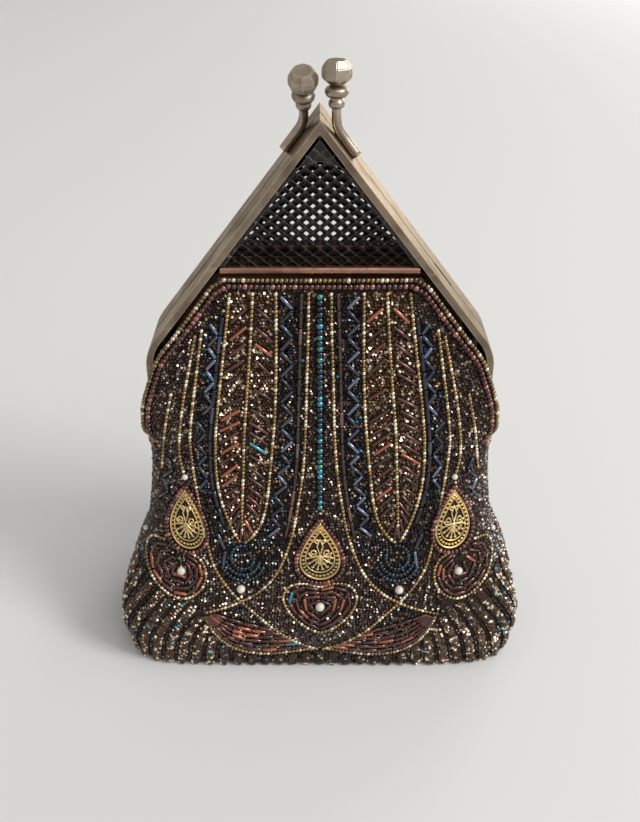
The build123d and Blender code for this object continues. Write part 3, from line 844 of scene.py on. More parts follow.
# Each finish: how it is made, and its colours and values
RECIPES = {
    "antique_brass": (metal, dict(
        # the seam values paint shade along the gap between the frame halves, in darkened tarnish
        base="brass", dark="tarnish", worn="bright", edge=0.0004, seam=0.00055, seam_shade="tarnish 0.12")),
    "clasp_brass": (metal, dict(base="clasp", dark="clasp 0.35", worn="bright", edge=0.0004)),
    "rosy_copper": (metal, dict(base="copper", dark="copper 0.45", worn="copper 1.6", edge=0.0003)),
    "black_metal": (metal, dict(base="soot", dark="soot 0.5", worn="soot 7", edge=0.00022, strength=0.15)),
    "filigree_gold": (metal, dict(base="filigree", dark="filigree 0.35", worn="gilt", edge=0.0003)),
    "ground_cloth": (woven, dict(thread="cloth", gap="cloth 0.3", count=5200.0, rough=0.8, sheen=0.1)),
    "satin": (woven, dict(thread="lining", gap="lining 0.55", count=9000.0, rough=0.42, sheen=0.4)),
    "gold_glass": (glass, dict(deep="gold 0.42", body="gold", spark="champagne", share=0.26)),
    "edge_glass": (glass, dict(deep="gold 0.22", body="gold 0.66", spark="champagne 0.8", share=0.16)),
    "rib_glass": (glass, dict(
        deep="umber 0.6", body="bronze 0.6", spark="champagne", share=0.17, rare=0.03)),
    # painted shade: a darker copy of the rib glass for the middle of the foot
    "foot_glass": (glass, dict(
        deep="night", body="umber 0.6", spark="champagne 0.6", share=0.07, rare=0.02)),
    "brown_glass": (glass, dict(deep="brown 0.5", body="brown", spark="rose", share=0.22, metallic=0.6)),
    "plum_bugle": (glass, dict(deep="plum 0.5", body="plum", spark="plum 2.6", share=0.25, metallic=0.6)),
    "maroon_glass": (glass, dict(
        deep="maroon 0.35", body="maroon", spark="ember", share=0.12, metallic=0.6, coat=0.8, rare=0.022)),
    "steel_glass": (glass, dict(
        deep="navy", body="steel", spark="steel 2.6", share=0.22, metallic=0.85, coat=0.9)),
    "navy_glass": (glass, dict(
        deep="navy 0.4", body="navy", spark="steel", share=0.12, metallic=0.7, coat=0.8)),
    "teal_glass": (glass, dict(
        deep="deep_teal", body="teal", spark="jade", share=0.20, coat=0.9, film=380.0, rare=0.22)),
    "tip_glass": (glass, dict(
        deep="night", body="teal 0.45", spark="teal", share=0.25, metallic=0.7, coat=0.8)),
    "night_glass": (glass, dict(
        deep="night 0.5", body="night", spark="bronze 1.6", share=0.12, metallic=0.6, rare=0.012)),
    "plum_glass": (glass, dict(
        deep="plum 0.4", body="plum", spark="champagne 0.45", share=0.09, metallic=0.6)),
    "bronze_glass": (glass, dict(deep="umber 0.4", body="bronze", spark="champagne 0.85", share=0.18)),
    "pearl_lustre": (pearly, {}),
    "pale_floor": (plain, {}),
}
FINISHES = {}


def finish_of(name):
    """A finish by name, made the first time it is asked for."""
    if name not in FINISHES:
        maker, values = RECIPES[name]
        FINISHES[name] = maker(name, **values)
    return FINISHES[name]


# Pieces

class BAG_OT_metal_frame(bpy.types.Operator):
    """Give the frame halves, rivets and rails their metal"""

    bl_idname = "bag.metal_frame"
    bl_label = "Frame, rivets and rails"

    def execute(self, context):
        finishes = {"frame": "antique_brass", "rivet": "clasp_brass", "rail": "rosy_copper"}
        for name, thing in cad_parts.items():
            kind = name.split("_")[-1]
            if kind in finishes:
                thing.data.materials.clear()
                thing.data.materials.append(finish_of(finishes[kind]))
        return {"FINISHED"}


def gable_half(z, inset):
    """Half width inside the gable at a height, drawn in from its outer edge."""
    return (APEX_Z - z) / tan(ARM) - inset / sin(ARM)


# The mesh in millimetres: how far strands keep from the arms, and their half thickness;
# and the number of columns tried on either side
STRAND_INSET = 2.2
STRAND_THICK = 0.14
STRAND_COLUMNS = 12
# How far a strand leans to the front and across
STRAND_TILT = (0.50, 0.87)
# The rims of the mesh: their top under the apex, half thickness, outer and inner edge on the arms
RIM_DROP = 2.2
RIM_THICK = 0.22
RIM_OUT = 1.15
RIM_IN = 3.4
RIM_SLANT = 2.9
# The plain peak and the strip along the foot
PEAK_DROP = 11.0
PEAK_INSET = 2.0
PEAK_TIP = 0.4
PEAK_NOTCH = 2.2
FOOT_INSET = 1.4
FOOT_SLANT = 1.6
FOOT_STRIP = 2.1


class BAG_OT_gable_mesh(bpy.types.Operator):
    """Build the stretched metal mesh of both gables"""

    bl_idname = "bag.gable_mesh"
    bl_label = "Gable meshes"

    def execute(self, context):
        low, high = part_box("front_mesh")
        middle = (low.y + high.y) / 2
        pitch, row = sizes().mesh_pitch, sizes().mesh_row
        strands = []
        for level in range(int((high.z - low.z) / row) + 1):
            z = low.z + level * row
            room = gable_half((z + row) / MM, STRAND_INSET) * MM
            for column in range(-STRAND_COLUMNS, STRAND_COLUMNS + 1):
                x = (column + level % 2 / 2) * pitch
                for way in (-1, 1):
                    far = x + way * pitch / 2
                    if max(abs(x), abs(far)) < room:
                        ends = Vector((x, middle, z)), Vector((far, middle, z + row))
                        strands.append(self.strand(*ends, way))
        groups = [(STRAND, np.array(strands)), *self.rims(low.z / MM, middle)]
        for face, laid in (("front", groups), ("rear", turned_back(groups))):
            title = face + "_stretched_mesh"
            on_half(face, title, mesh_of(title, laid), "black_metal", "mesh")
        return {"FINISHED"}

    def strand(self, start, end, way):
        """Corners of one tilted strand of sheet, four at each end."""
        along = (end - start).normalized()
        across = Vector((-along.z, 0, along.x)) * way
        tilt = (Vector((0, -1, 0)) * STRAND_TILT[0] + across * STRAND_TILT[1]).normalized()
        thin = along.cross(tilt).normalized() * STRAND_THICK * MM
        bulge = tilt * sizes().strand / 2
        corners = (bulge + thin, -bulge + thin, -bulge - thin, bulge - thin)
        return [spot + corner for spot in (start, end) for corner in corners]

    def rims(self, foot, middle):
        """Plain strips of sheet along both arms, in the peak and along the foot."""
        top = APEX_Z - RIM_DROP
        outlines = []
        for side in (-1, 1):
            corners = ((RIM_OUT, foot), (RIM_OUT, top), (RIM_IN, top - RIM_SLANT), (RIM_IN, foot))
            outlines.append([(side * max(gable_half(z, inset), 0.0), z) for inset, z in corners])
        peak = top - PEAK_DROP
        half = gable_half(peak, PEAK_INSET)
        outlines.append([(0.0, top - PEAK_TIP), (-half, peak), (0.0, peak + PEAK_NOTCH), (half, peak)])
        half, strip = gable_half(foot, FOOT_INSET), foot + FOOT_STRIP
        outlines.append([(-half, foot), (half, foot), (half - FOOT_SLANT, strip), (FOOT_SLANT - half, strip)])
        return [self.plate(outline, middle) for outline in outlines]

    def plate(self, outline, middle):
        verts = [(x * MM, middle + y * MM, z * MM) for y in (RIM_THICK, -RIM_THICK) for x, z in outline]
        return loose_mesh(verts, tube_faces(2, len(outline)), smooth=False)


# The clasp in millimetres: where a stem bends, beside the apex, before the seam and above the arm
STEM_AWAY = 4.45
STEM_FRONT = -2.7
STEM_ABOVE = 1.3
# Length on the arm, start of the bend, rise to the knob; radius on the arm, in the neck and at the end
STEM_LENGTH = 9.5
STEM_BEND = 2.8
STEM_RISE = 9.2
STEM_RADIUS = 1.45
NECK_RADIUS = 1.35
STEM_END = 1.10
# How much the neck thins for each millimetre, how far it runs into the knob, and the length of the round end
NECK_TAPER = 0.02
STEM_INTO = 0.1
STEM_ROUND = 0.12
REAR_LEAN = 28.0
KNOB_RADIUS = 4.2
KNOB_HEIGHT = 8.4
KNOB_BEVEL = 0.22
# Shares of the knob's height and radius, up the cut ball and up the turned collars under it
BALL = ((0.26, 0.50), (0.45, 0.97), (0.62, 1.0), (0.79, 0.97), (1.0, 0.66))
COLLARS = (
    (-0.47, 0.28), (-0.47, 0.36), (-0.44, 0.45), (-0.39, 0.51), (-0.33, 0.53), (-0.26, 0.51), (-0.20, 0.44),
    (-0.17, 0.37), (-0.15, 0.43), (-0.11, 0.60), (-0.04, 0.73), (0.04, 0.77), (0.12, 0.74), (0.18, 0.64),
    (0.22, 0.50), (0.24, 0.42), (0.30, 0.30),
)


class BAG_OT_clasp(bpy.types.Operator):
    """Build the two bent stems and the two faceted knobs"""

    bl_idname = "bag.clasp"
    bl_label = "Ball clasp"

    def execute(self, context):
        for face, lean, turn in (("front", 0.0, 0.0), ("rear", REAR_LEAN, pi)):
            half_round = Matrix.Rotation(turn, 4, "Z")
            knee = Vector((STEM_AWAY, STEM_FRONT, APEX_Z - tan(ARM) * STEM_AWAY + STEM_ABOVE / cos(ARM)))
            along = Vector((cos(ARM), 0, -sin(ARM)))
            upward = Vector((0, sin(radians(lean)), cos(radians(lean))))
            self.stem(face, knee, along, upward, half_round)
            self.knob(face, knee + upward * STEM_RISE, upward, half_round)
        return {"FINISHED"}

    def stem(self, face, knee, along, upward, half_round):
        """A round rod that follows the arm, then bends up to the knob."""
        line = [(knee + along * s, STEM_RADIUS) for s in np.linspace(STEM_LENGTH, STEM_BEND, 8)]
        low, high = knee + along * STEM_BEND, knee + upward * STEM_BEND
        for s in np.linspace(0, 1, 9)[1:-1]:
            bend = low * (1 - s) ** 2 + knee * 2 * s * (1 - s) + high * s**2
            line.append((bend, STEM_RADIUS - (STEM_RADIUS - NECK_RADIUS) * s))
        for s in np.linspace(STEM_BEND, STEM_RISE + STEM_INTO, 7):
            line.append((knee + upward * s, NECK_RADIUS - NECK_TAPER * s))
        line.insert(0, (line[0][0] + along * STEM_ROUND, STEM_END))
        points = [tuple(half_round @ point * MM) for point, _ in line]
        rod = wire(points, np.array([radius for _, radius in line]) * MM, sides=18)
        title = face + "_bent_stem"
        on_half(face, title, mesh_of(title, [rod]), "clasp_brass", "clasp_stem")

    def knob(self, face, seat, upward, half_round):
        """Two turned collars under a cut ball with a flat top."""
        solid = bmesh.new()
        self.rings(solid, BALL, sizes().knob_facets)
        bmesh.ops.bevel(solid, geom=list(solid.edges), offset=KNOB_BEVEL, segments=2, affect="EDGES")
        for side in self.rings(solid, COLLARS, 28)[:-2]:
            side.smooth = True
        stand = Vector((0, 0, 1)).rotation_difference(upward).to_matrix().to_4x4()
        solid.transform(Matrix.Scale(MM, 4) @ half_round @ Matrix.Translation(seat) @ stand)
        title = face + "_cut_knob"
        mesh = bpy.data.meshes.new(title)
        solid.to_mesh(mesh)
        solid.free()
        on_half(face, title, mesh, "clasp_brass", "clasp_knob")

    def rings(self, solid, profile, sides):
        """Faces of a form with rings of points up its axis; its two ends come last."""
        verts = []
        for up, wide in profile:
            for k in range(sides):
                way, reach = 2 * pi * k / sides, wide * KNOB_RADIUS
                verts.append(solid.verts.new((reach * cos(way), reach * sin(way), up * KNOB_HEIGHT)))
        return [solid.faces.new([verts[k] for k in face]) for face in tube_faces(len(profile), sides)]


# Steps across the middle of the cloth and round each of its flanks
CLOTH_MIDDLE = 60
CLOTH_FLANK = 12
FLANK_BUNCH = 1.4
# Rows in from the foot's edge, in the band above it, up the pouch and up the flap
FLOOR_ROWS = 6
BAND_ROWS = 4
POUCH_ROWS = 40
FLAP_ROWS = 31
# The height of the band, and of the first row above it
BAND_TOP = 4
POUCH_FOOT = 6
# Points nearer than this are joined
WELD = 0.02
CLOTH_CENTRE = Vector((0, 0, 0.045))


def cloth_grid(inset, foot, top, side_in, loose):
    """Points and faces of the front half of the pouch and its flap, seam to seam."""
    share = np.linspace(-1, 1, CLOTH_MIDDLE + 1)
    flank = np.linspace(0, 1, CLOTH_FLANK, endpoint=False) ** FLANK_BUNCH
    edge = flap_half(RIM_Z, side_in, loose)
    rim_wide = section(RIM_Z)[0]
    rows = []
    band = np.linspace(foot, foot + BAND_TOP, BAND_ROWS)
    for z in np.concatenate([band, np.linspace(foot + POUCH_FOOT, RIM_Z, POUCH_ROWS)]):
        inner = turn_at(share * edge / rim_wide * section(z)[0], z)
        turn = np.concatenate([flank * inner[0], inner, pi - (flank * (pi - inner[-1]))[::-1]])
        rows.append(skin(turn, z, inset)[0])
    # the foot runs in to the middle line, where the rear half meets it
    rows = [rows[0] * np.array([1, s, 1]) for s in np.linspace(0, 1, FLOOR_ROWS + 1)[:-1]] + rows
    for z in np.linspace(RIM_Z, top, FLAP_ROWS + 1)[1:]:
        rows.append(skin(turn_at(share * flap_half(z, side_in, loose), z), z, inset)[0])
    starts = np.cumsum([0] + [len(row) for row in rows])
    numbers = [list(range(a, b)) for a, b in zip(starts, starts[1:])]
    faces = []
    for low, high in zip(numbers, numbers[1:]):
        # the flap stands on the middle of the pouch rim
        if len(low) > len(high):
            low = low[CLOTH_FLANK:CLOTH_FLANK + len(high)]
        faces += quads(low, high)
    return np.concatenate(rows), faces


def soft_shell(name, replaced, finish, inset, foot, top, side_in, thick, loose):
    """Front and rear shells of cloth with a real thickness, cut as sheets."""
    verts, faces = cloth_grid(inset, foot, top, side_in, loose)
    for face, points in (("front", verts), ("rear", verts * HALF_TURN)):
        title = face + "_" + name
        mesh = bpy.data.meshes.new(title)
        mesh.from_pydata(points.tolist(), [], faces)
        shell = bmesh.new()
        shell.from_mesh(mesh)
        bmesh.ops.remove_doubles(shell, verts=shell.verts, dist=WELD * MM)
        bmesh.ops.recalc_face_normals(shell, faces=shell.faces)
        outward = sum((f.normal.dot(f.calc_center_median() - CLOTH_CENTRE) for f in shell.faces), 0.0)
        if outward < 0:
            bmesh.ops.reverse_faces(shell, faces=shell.faces)
        area = sum(f.calc_area() for f in shell.faces)
        bmesh.ops.solidify(shell, geom=list(shell.faces), thickness=thick * MM)
        shell.to_mesh(mesh)
        shell.free()
        mesh.polygons.foreach_set("use_smooth", np.ones(len(mesh.polygons), bool))
        thing = place(title, mesh, finish)
        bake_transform(thing)
        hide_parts(replaced)


class BAG_OT_cloth(bpy.types.Operator):
    """Build the beaded cloth and its satin lining"""

    bl_idname = "bag.cloth"
    bl_label = "Cloth and lining"

    def execute(self, context):
        soft_shell("cloth", "bag_body", "ground_cloth",
                   inset=SINK, foot=0.3, top=FLAP_TOP_Z, side_in=0.0, thick=1.2, loose=True)
        soft_shell("satin", "lining", "satin",
                   inset=2.0, foot=2.4, top=FLAP_TOP_Z - 1.6, side_in=1.2, thick=0.5, loose=False)
        return {"FINISHED"}


# The edge run: its start above the rim, its end under the shoulder and how far in the top run starts
RUN_FOOT = 0.6
RUN_SHOULDER = 2.2
RUN_CORNER = 2.0
# How far in each row lies, and the radius and pitch of its beads as shares of the edge bead's radius
GOLD_EDGE = (0.0, 0.88, 1.5)
BROWN_EDGE = (1.85, 1.0, 1.75)
# How much further down the rows lie on the pouch
RIM_LOWER = 0.2


def flap_run(inset):
    """Dense places round the flap edge, from the left shoulder over the top to the right."""
    top = FLAP_TOP_Z - inset
    rise = np.linspace(RIM_Z + RUN_FOOT, top - RUN_SHOULDER, 90)
    across = np.linspace(float(flap_half(top, inset)) - RUN_CORNER, 0, 40)
    half = np.concatenate([
        np.stack([flap_half(rise, inset), rise], 1), np.stack([across, np.full(len(across), top)], 1)])
    return np.concatenate([half * MIRROR, half[::-1][1:]])


class BAG_OT_edge_beads(bpy.types.Operator):
    """String the gold and brown rows along the flap edges and the pouch rim"""

    bl_idname = "bag.edge_beads"
    bl_label = "Edge rows"

    def execute(self, context):
        rng = np.random.default_rng(SEED + 1)
        big = sizes().edge_radius
        for name, finish, slot, node, (inset, thick, pitch) in (
            ("edge_gold_beads", "edge_glass", "gold_beads", "edge_beads_outer", GOLD_EDGE),
            ("edge_brown_beads", "brown_glass", "brown_beads", "edge_beads_inner", BROWN_EDGE),
        ):
            beads = [string([flap_run(inset)], big * thick, big * pitch, rng, smooth=False)]
            beads.append(rim_beads(inset + RIM_LOWER, big * thick, big * pitch, rng))
            both_faces(name, beads, finish, slot, node)
        return {"FINISHED"}


# Pitch of the strung beads, as a share of the radius of their kind
COLUMN_PITCH = 1.68
LINE_PITCH = 2.15
CLOSE_PITCH = 2.1
RING_PITCH = 1.55
# Radius of the beads of the hearts and the feather tips, as a share of the seed bead's
HEART_BEAD = 0.95
TIP_BEAD = 1.15
# Length of the tube beads beside the bell and the feathers, in the petals and the scallops, in millimetres
SHADE_TUBE = 5.2
NIGHT_TUBE = 5.6
PETAL_TUBE = 4.4
SCALLOP_TUBE = 4.8
# Radius of the tube beads beside the bell and in barbs and petals, as a share of the bugle's
SHADE_THICK = 0.95
BARB_THICK = 0.92
# Share of a zigzag's stretch that its tube bead fills
ZIGZAG_FILL = 0.86
# Where on the vein the first and last barb spring, and where a barb starts and ends on its way to the outline
BARB_SPRING = (0.04, 0.93)
BARB_ENDS = (0.16, 0.86)
# How far the ends of barbs and petals stray, in millimetres
BARB_STRAY = 0.25
PETAL_STRAY = 0.12


class BAG_OT_column(bpy.types.Operator):
    """String the blue-green beads down the middle"""

    bl_idname = "bag.column"
    bl_label = "Centre column"

    def execute(self, context):
        big = sizes().column_radius
        beads = [string([COLUMN], big, big * COLUMN_PITCH, np.random.default_rng(SEED + 2))]
        both_faces("column_beads", beads, "teal_glass", "blue_green_beads", "centre_beads")
        return {"FINISHED"}


class BAG_OT_gold_lines(bpy.types.Operator):
    """String the gold lines of the bell, the feathers, the lobes and the sides"""

    bl_idname = "bag.gold_lines"
    bl_label = "Gold lines"

    def execute(self, context):
        rng = np.random.default_rng(SEED + 3)
        small = sizes().seed_radius
        for name, node, runs in (
            ("bell_beads", "bell_lines", (BELL,)),
            ("feather_beads", "feathers", (FEATHER_INNER, FEATHER_OUTER, VEIN)),
            ("lobe_beads", "lobe_lines", (LOBE, SIDE_INNER, SIDE_OUTER)),
        ):
            beads = [string(mirrored(runs), small, small * LINE_PITCH, rng)]
            both_faces(name, beads, "gold_glass", "gold_beads", node)
        return {"FINISHED"}


def barbs_between(inner, outer):
    """Slanting pairs of places from one run to another."""
    inner, outer = curve(inner), curve(outer)
    pairs = []
    for share in np.linspace(*BARB_SPRING, BARBS):
        a = inner[int(share * (len(inner) - 1))]
        low = outer[np.argmin(np.abs(outer[:, 1] - (a[1] - BARB_DROP)))]
        pairs.append([a + (low - a) * part for part in BARB_ENDS])
    return np.array(pairs)


class BAG_OT_bugles(bpy.types.Operator):
    """Lay the tube beads: zigzags, dark edges and the barbs of the feathers"""

    bl_idname = "bag.bugles"
    bl_label = "Bugles"

    def execute(self, context):
        rng = np.random.default_rng(SEED + 4)
        thick = sizes().bugle_radius
        laid = [tubes(np.concatenate([zigzag(*run) for run in ZIGZAGS]), thick, rng, ZIGZAG_FILL)]
        both_faces("zigzag_bugles", laid, "steel_glass", "steel_blue_bugles", "zigzags")
        laid = [tubes(end_to_end(curve(BELL_SHADE), SHADE_TUBE), thick * SHADE_THICK, rng)]
        both_faces("plum_bugles", laid, "plum_bugle", "brown_beads")
        laid = [tubes(end_to_end(curve(NIGHT_EDGE), NIGHT_TUBE), thick, rng)]
        both_faces("navy_bugles", laid, "navy_glass", "steel_blue_bugles")
        barbs = np.concatenate([barbs_between(VEIN, FEATHER_INNER), barbs_between(VEIN, FEATHER_OUTER)])
        barbs = barbs + rng.normal(0, BARB_STRAY, barbs.shape)
        barbs = barbs[rng.random(len(barbs)) < BARB_SHARE]
        laid = [tubes(barbs, thick * BARB_THICK, rng)]
        both_faces("feather_barbs", laid, "maroon_glass", "maroon_bugles", "feathers")
        return {"FINISHED"}


# The medallions in millimetres. Their low dome: reach across and up, height at the edge and in the middle
DOME_REACH = np.array([6.5, 10.5])
DOME_EDGE = 0.35
DOME_RISE = 0.75
# The back under the wires: the sizes of its rings, its drop, and the room kept round rim and back
BACK_RINGS = (0.98, 0.8, 0.6, 0.4, 0.2, 0.02)
BACK_LOWER = 0.3
RIM_ROOM = 0.9
BACK_ROOM = 1.3
# Middle, size, turns and way round of the curls on one side
CURLS = (((2.3, -0.2), 1.5, 1.4, -1), ((1.1, 3.6), 0.9, 1.1, 1))
LOZENGE = np.array([(0.0, 4.6), (1.0, 2.2), (0.0, -1.2), (-1.0, 2.2)])
# The spokes that fan out below the lozenge: where they start, how far they reach and their ways in degrees
HUB = np.array([0.0, -1.2])
SPOKE_REACH = np.array([4.5, 5.0])
SPOKE_WAYS = np.linspace(-168, -12, 8)
SPOKE_BOW = 0.5
# Lift off the dome and radius of each kind of wire
RIM_WIRE = (0.05, 0.46)
INNER_WIRE = (0.10, 0.30)
CURL_WIRE = (0.15, 0.36)
LOZENGE_WIRE = (0.2, 0.36)
SPOKE_WIRE = (0.12, 0.34)
# Size of the inner wire and of the row of grains, as shares of the rim, and how far a curl winds in
INNER_SHARE = 0.74
GRAIN_SHARE = 0.87
CURL_IN = 0.78
# The grains: their lift and size, and the place of the middle one along and beside a spoke
GRAIN_LIFT = 0.12
GRAIN_SIZE = np.array([[1.0, 0.5, 0.5]])
KNOT_SHARE = 0.62
KNOT_ASIDE = np.array([0.55, 0.2])
# How sharply a drop tapers to its tip, and how much faster it grows upwards than across
DROP_TAPER = 1.15
DROP_GROWTH = 1.15


def teardrop(drop, step, count=72):
    """Places round a drop with its tip upwards, grown by step, and its middle."""
    across, foot, top, widest = drop
    way = np.linspace(0, 2 * pi, count, endpoint=False)
    wide = np.sin(way) * np.abs(np.sin(way / 2)) ** DROP_TAPER
    wide = wide / wide.max() * (widest + step)
    half = (top - foot) / 2 + step * DROP_GROWTH
    middle = np.array([across, (top + foot) / 2])
    return middle + np.stack([wide, half * np.cos(way)], 1), middle


class BAG_OT_medallions(bpy.types.Operator):
    """Build the filigree drops and the brown rings round them"""

    bl_idname = "bag.medallions"
    bl_label = "Medallions"

    def execute(self, context):
        work, backs, rings = [], [], []
        for drop in (DROPS[0], DROPS[1], (-DROPS[1][0], *DROPS[1][1:])):
            wires, back = self.filigree(drop)
            work += wires
            backs.append(back)
            loop, _ = teardrop(drop, RING_STEP)
            rings.append(np.concatenate([loop, loop[:1]]))
        both_faces("filigree_drops", work, "filigree_gold", "gold_filigree", "medallions")
        both_faces("drop_backs", backs, "ground_cloth", "beaded_cloth", "medallions")
        big = sizes().edge_radius
        beads = [string(rings, big, big * RING_PITCH, np.random.default_rng(SEED + 5), smooth=False)]
        both_faces("ring_beads", beads, "brown_glass", "brown_beads", "medallion_rings")
        return {"FINISHED"}

    def raised(self, places, middle, extra):
        """Places on the drop lifted onto its low dome."""
        point, out = on_front(places)
        away = np.hypot(*((places - middle) / DOME_REACH).T)
        lift = DOME_EDGE + DOME_RISE * np.clip(1 - away**2, 0, 1) + extra
        return point + out * lift[:, None] * MM

    def filigree(self, drop):
        """Gold wire work of a drop, and the dark back under it."""
        rim, middle = teardrop(drop, 0.0)
        narrow = np.array([drop[3] / DROPS[0][3], 1.0])
        made = []

        def draw(places, lift, radius, sides=5, closed=False):
            made.append(wire(self.raised(places, middle, lift), radius * MM, sides, closed))

        draw(rim, *RIM_WIRE, sides=6, closed=True)
        draw(middle + (rim - middle) * INNER_SHARE, *INNER_WIRE, sides=6, closed=True)
        for side in (-1, 1):
            for (x, z), size, turns, up in CURLS:
                way = np.linspace(0, 2 * pi * turns, 30)
                reach = size * (1 - CURL_IN * way / way[-1])
                curl = np.stack([side * (x + reach * np.cos(way)), z + up * reach * np.sin(way)], 1)
                draw(middle + curl * narrow, *CURL_WIRE)
        draw(middle + LOZENGE * narrow, *LOZENGE_WIRE, closed=True)
        knots = []
        for way in np.radians(SPOKE_WAYS):
            far = HUB + SPOKE_REACH * np.array([cos(way), sin(way)])
            bow = (HUB + far) / 2 + np.array([SPOKE_BOW * sin(2 * way), 0.0])
            draw(middle + curve([HUB, bow, far], 5) * narrow, *SPOKE_WIRE)
            knots += [far * narrow, (HUB + (far - HUB) * KNOT_SHARE + KNOT_ASIDE) * narrow]
        # grains along the rim, and at the ends and middles of the spokes
        grains = np.concatenate([middle + (rim[::2] - middle) * GRAIN_SHARE, middle + np.array(knots)])
        _, out = on_front(grains)
        spot = self.raised(grains, middle, GRAIN_LIFT)
        made.append(set_down(CUT_BEAD, spot, np.cross(out, UP), out, GRAIN_SIZE * MM))
        return made, self.back(rim, middle)

    def back(self, rim, middle):
        """The dark back of a drop, open on the side of the cloth."""
        rings = [middle + (rim - middle) * share for share in BACK_RINGS]
        edge, _ = on_front(rim)
        mark(edge, RIM_ROOM * MM)
        for ring in rings[:-1]:
            mark(on_front(ring)[0], BACK_ROOM * MM)
        points = np.concatenate([edge] + [self.raised(ring, middle, -BACK_LOWER) for ring in rings])
        faces = tube_faces(len(rings) + 1, len(rim))
        del faces[-2]
        return loose_mesh(points, faces)


class BAG_OT_pearls(bpy.types.Operator):
    """Set the pearls"""

    bl_idname = "bag.pearls"
    bl_label = "Pearls"

    def execute(self, context):
        rows = np.array([(x * side, z, r) for x, z, r in PEARLS for side in ((1, -1) if x else (1,))])
        point, out = on_front(rows[:, :2])
        radius = rows[:, 2:] * MM
        centre = point + out * radius * PEARL_LIFT
        mark(centre, PEARL_ROOM * MM)
        laid = [set_down(PEARL_BEAD, centre, np.cross(out, UP), out, radius * np.array([[2.0, 1.0, 1.0]]))]
        both_faces("pearl_set", laid, "pearl_lustre", "pearl_beads", "pearls")
        return {"FINISHED"}


class BAG_OT_flowers(bpy.types.Operator):
    """Lay the rings of petals round the pearls and their gold hearts"""

    bl_idname = "bag.flowers"
    bl_label = "Flowers"

    def execute(self, context):
        rng = np.random.default_rng(SEED + 6)
        pairs = []
        for heart, centre in FLOWERS:
            for share in PETAL_RINGS:
                ring = np.array(centre) + (curve(heart) - np.array(centre)) * share
                pairs.append(end_to_end(ring, PETAL_TUBE))
        pairs = np.concatenate(pairs)
        pairs = pairs + rng.normal(0, PETAL_STRAY, pairs.shape)
        laid = [tubes(pairs, sizes().bugle_radius * BARB_THICK, rng)]
        both_faces("petal_bugles", laid, "maroon_glass", "maroon_bugles", "flowers")
        small = sizes().seed_radius
        beads = [string(mirrored((CENTRE_HEART, SIDE_HEART)), small * HEART_BEAD, small * CLOSE_PITCH, rng)]
        both_faces("heart_outlines", beads, "gold_glass", "gold_beads", "flowers")
        return {"FINISHED"}


class BAG_OT_scallops(bpy.types.Operator):
    """Lay the hanging rows of tube beads, their gold edge and the arcs at the feather tips"""

    bl_idname = "bag.scallops"
    bl_label = "Scallops"

    def execute(self, context):
        rng = np.random.default_rng(SEED + 7)
        low, high = curve(SCALLOP_LOW), curve(SCALLOP_HIGH)
        shares = [row / (SCALLOP_ROWS + SCALLOP_SPARE) for row in range(1, SCALLOP_ROWS + 1)]
        pairs = np.concatenate([end_to_end(low + (high - low) * share, SCALLOP_TUBE) for share in shares])
        laid = [tubes(pairs, sizes().bugle_radius, rng)]
        both_faces("scallop_bugles", laid, "maroon_glass", "maroon_bugles", "scallops")
        small = sizes().seed_radius
        beads = [string(sides_of(SCALLOP_LOW), small, small * CLOSE_PITCH, rng)]
        both_faces("scallop_edges", beads, "gold_glass", "gold_beads", "scallops")
        arcs = []
        for reach, start, end in TIP_ARCS:
            way = np.radians(np.linspace(start, end, 26))
            across = TIP[0] + reach * TIP_NARROW * np.cos(way)
            arcs.append(np.stack([across, TIP[1] + reach * np.sin(way)], 1))
        beads = [string(mirrored(arcs), small * TIP_BEAD, small * CLOSE_PITCH, rng)]
        both_faces("tip_beads", beads, "tip_glass", "blue_green_beads")
        return {"FINISHED"}


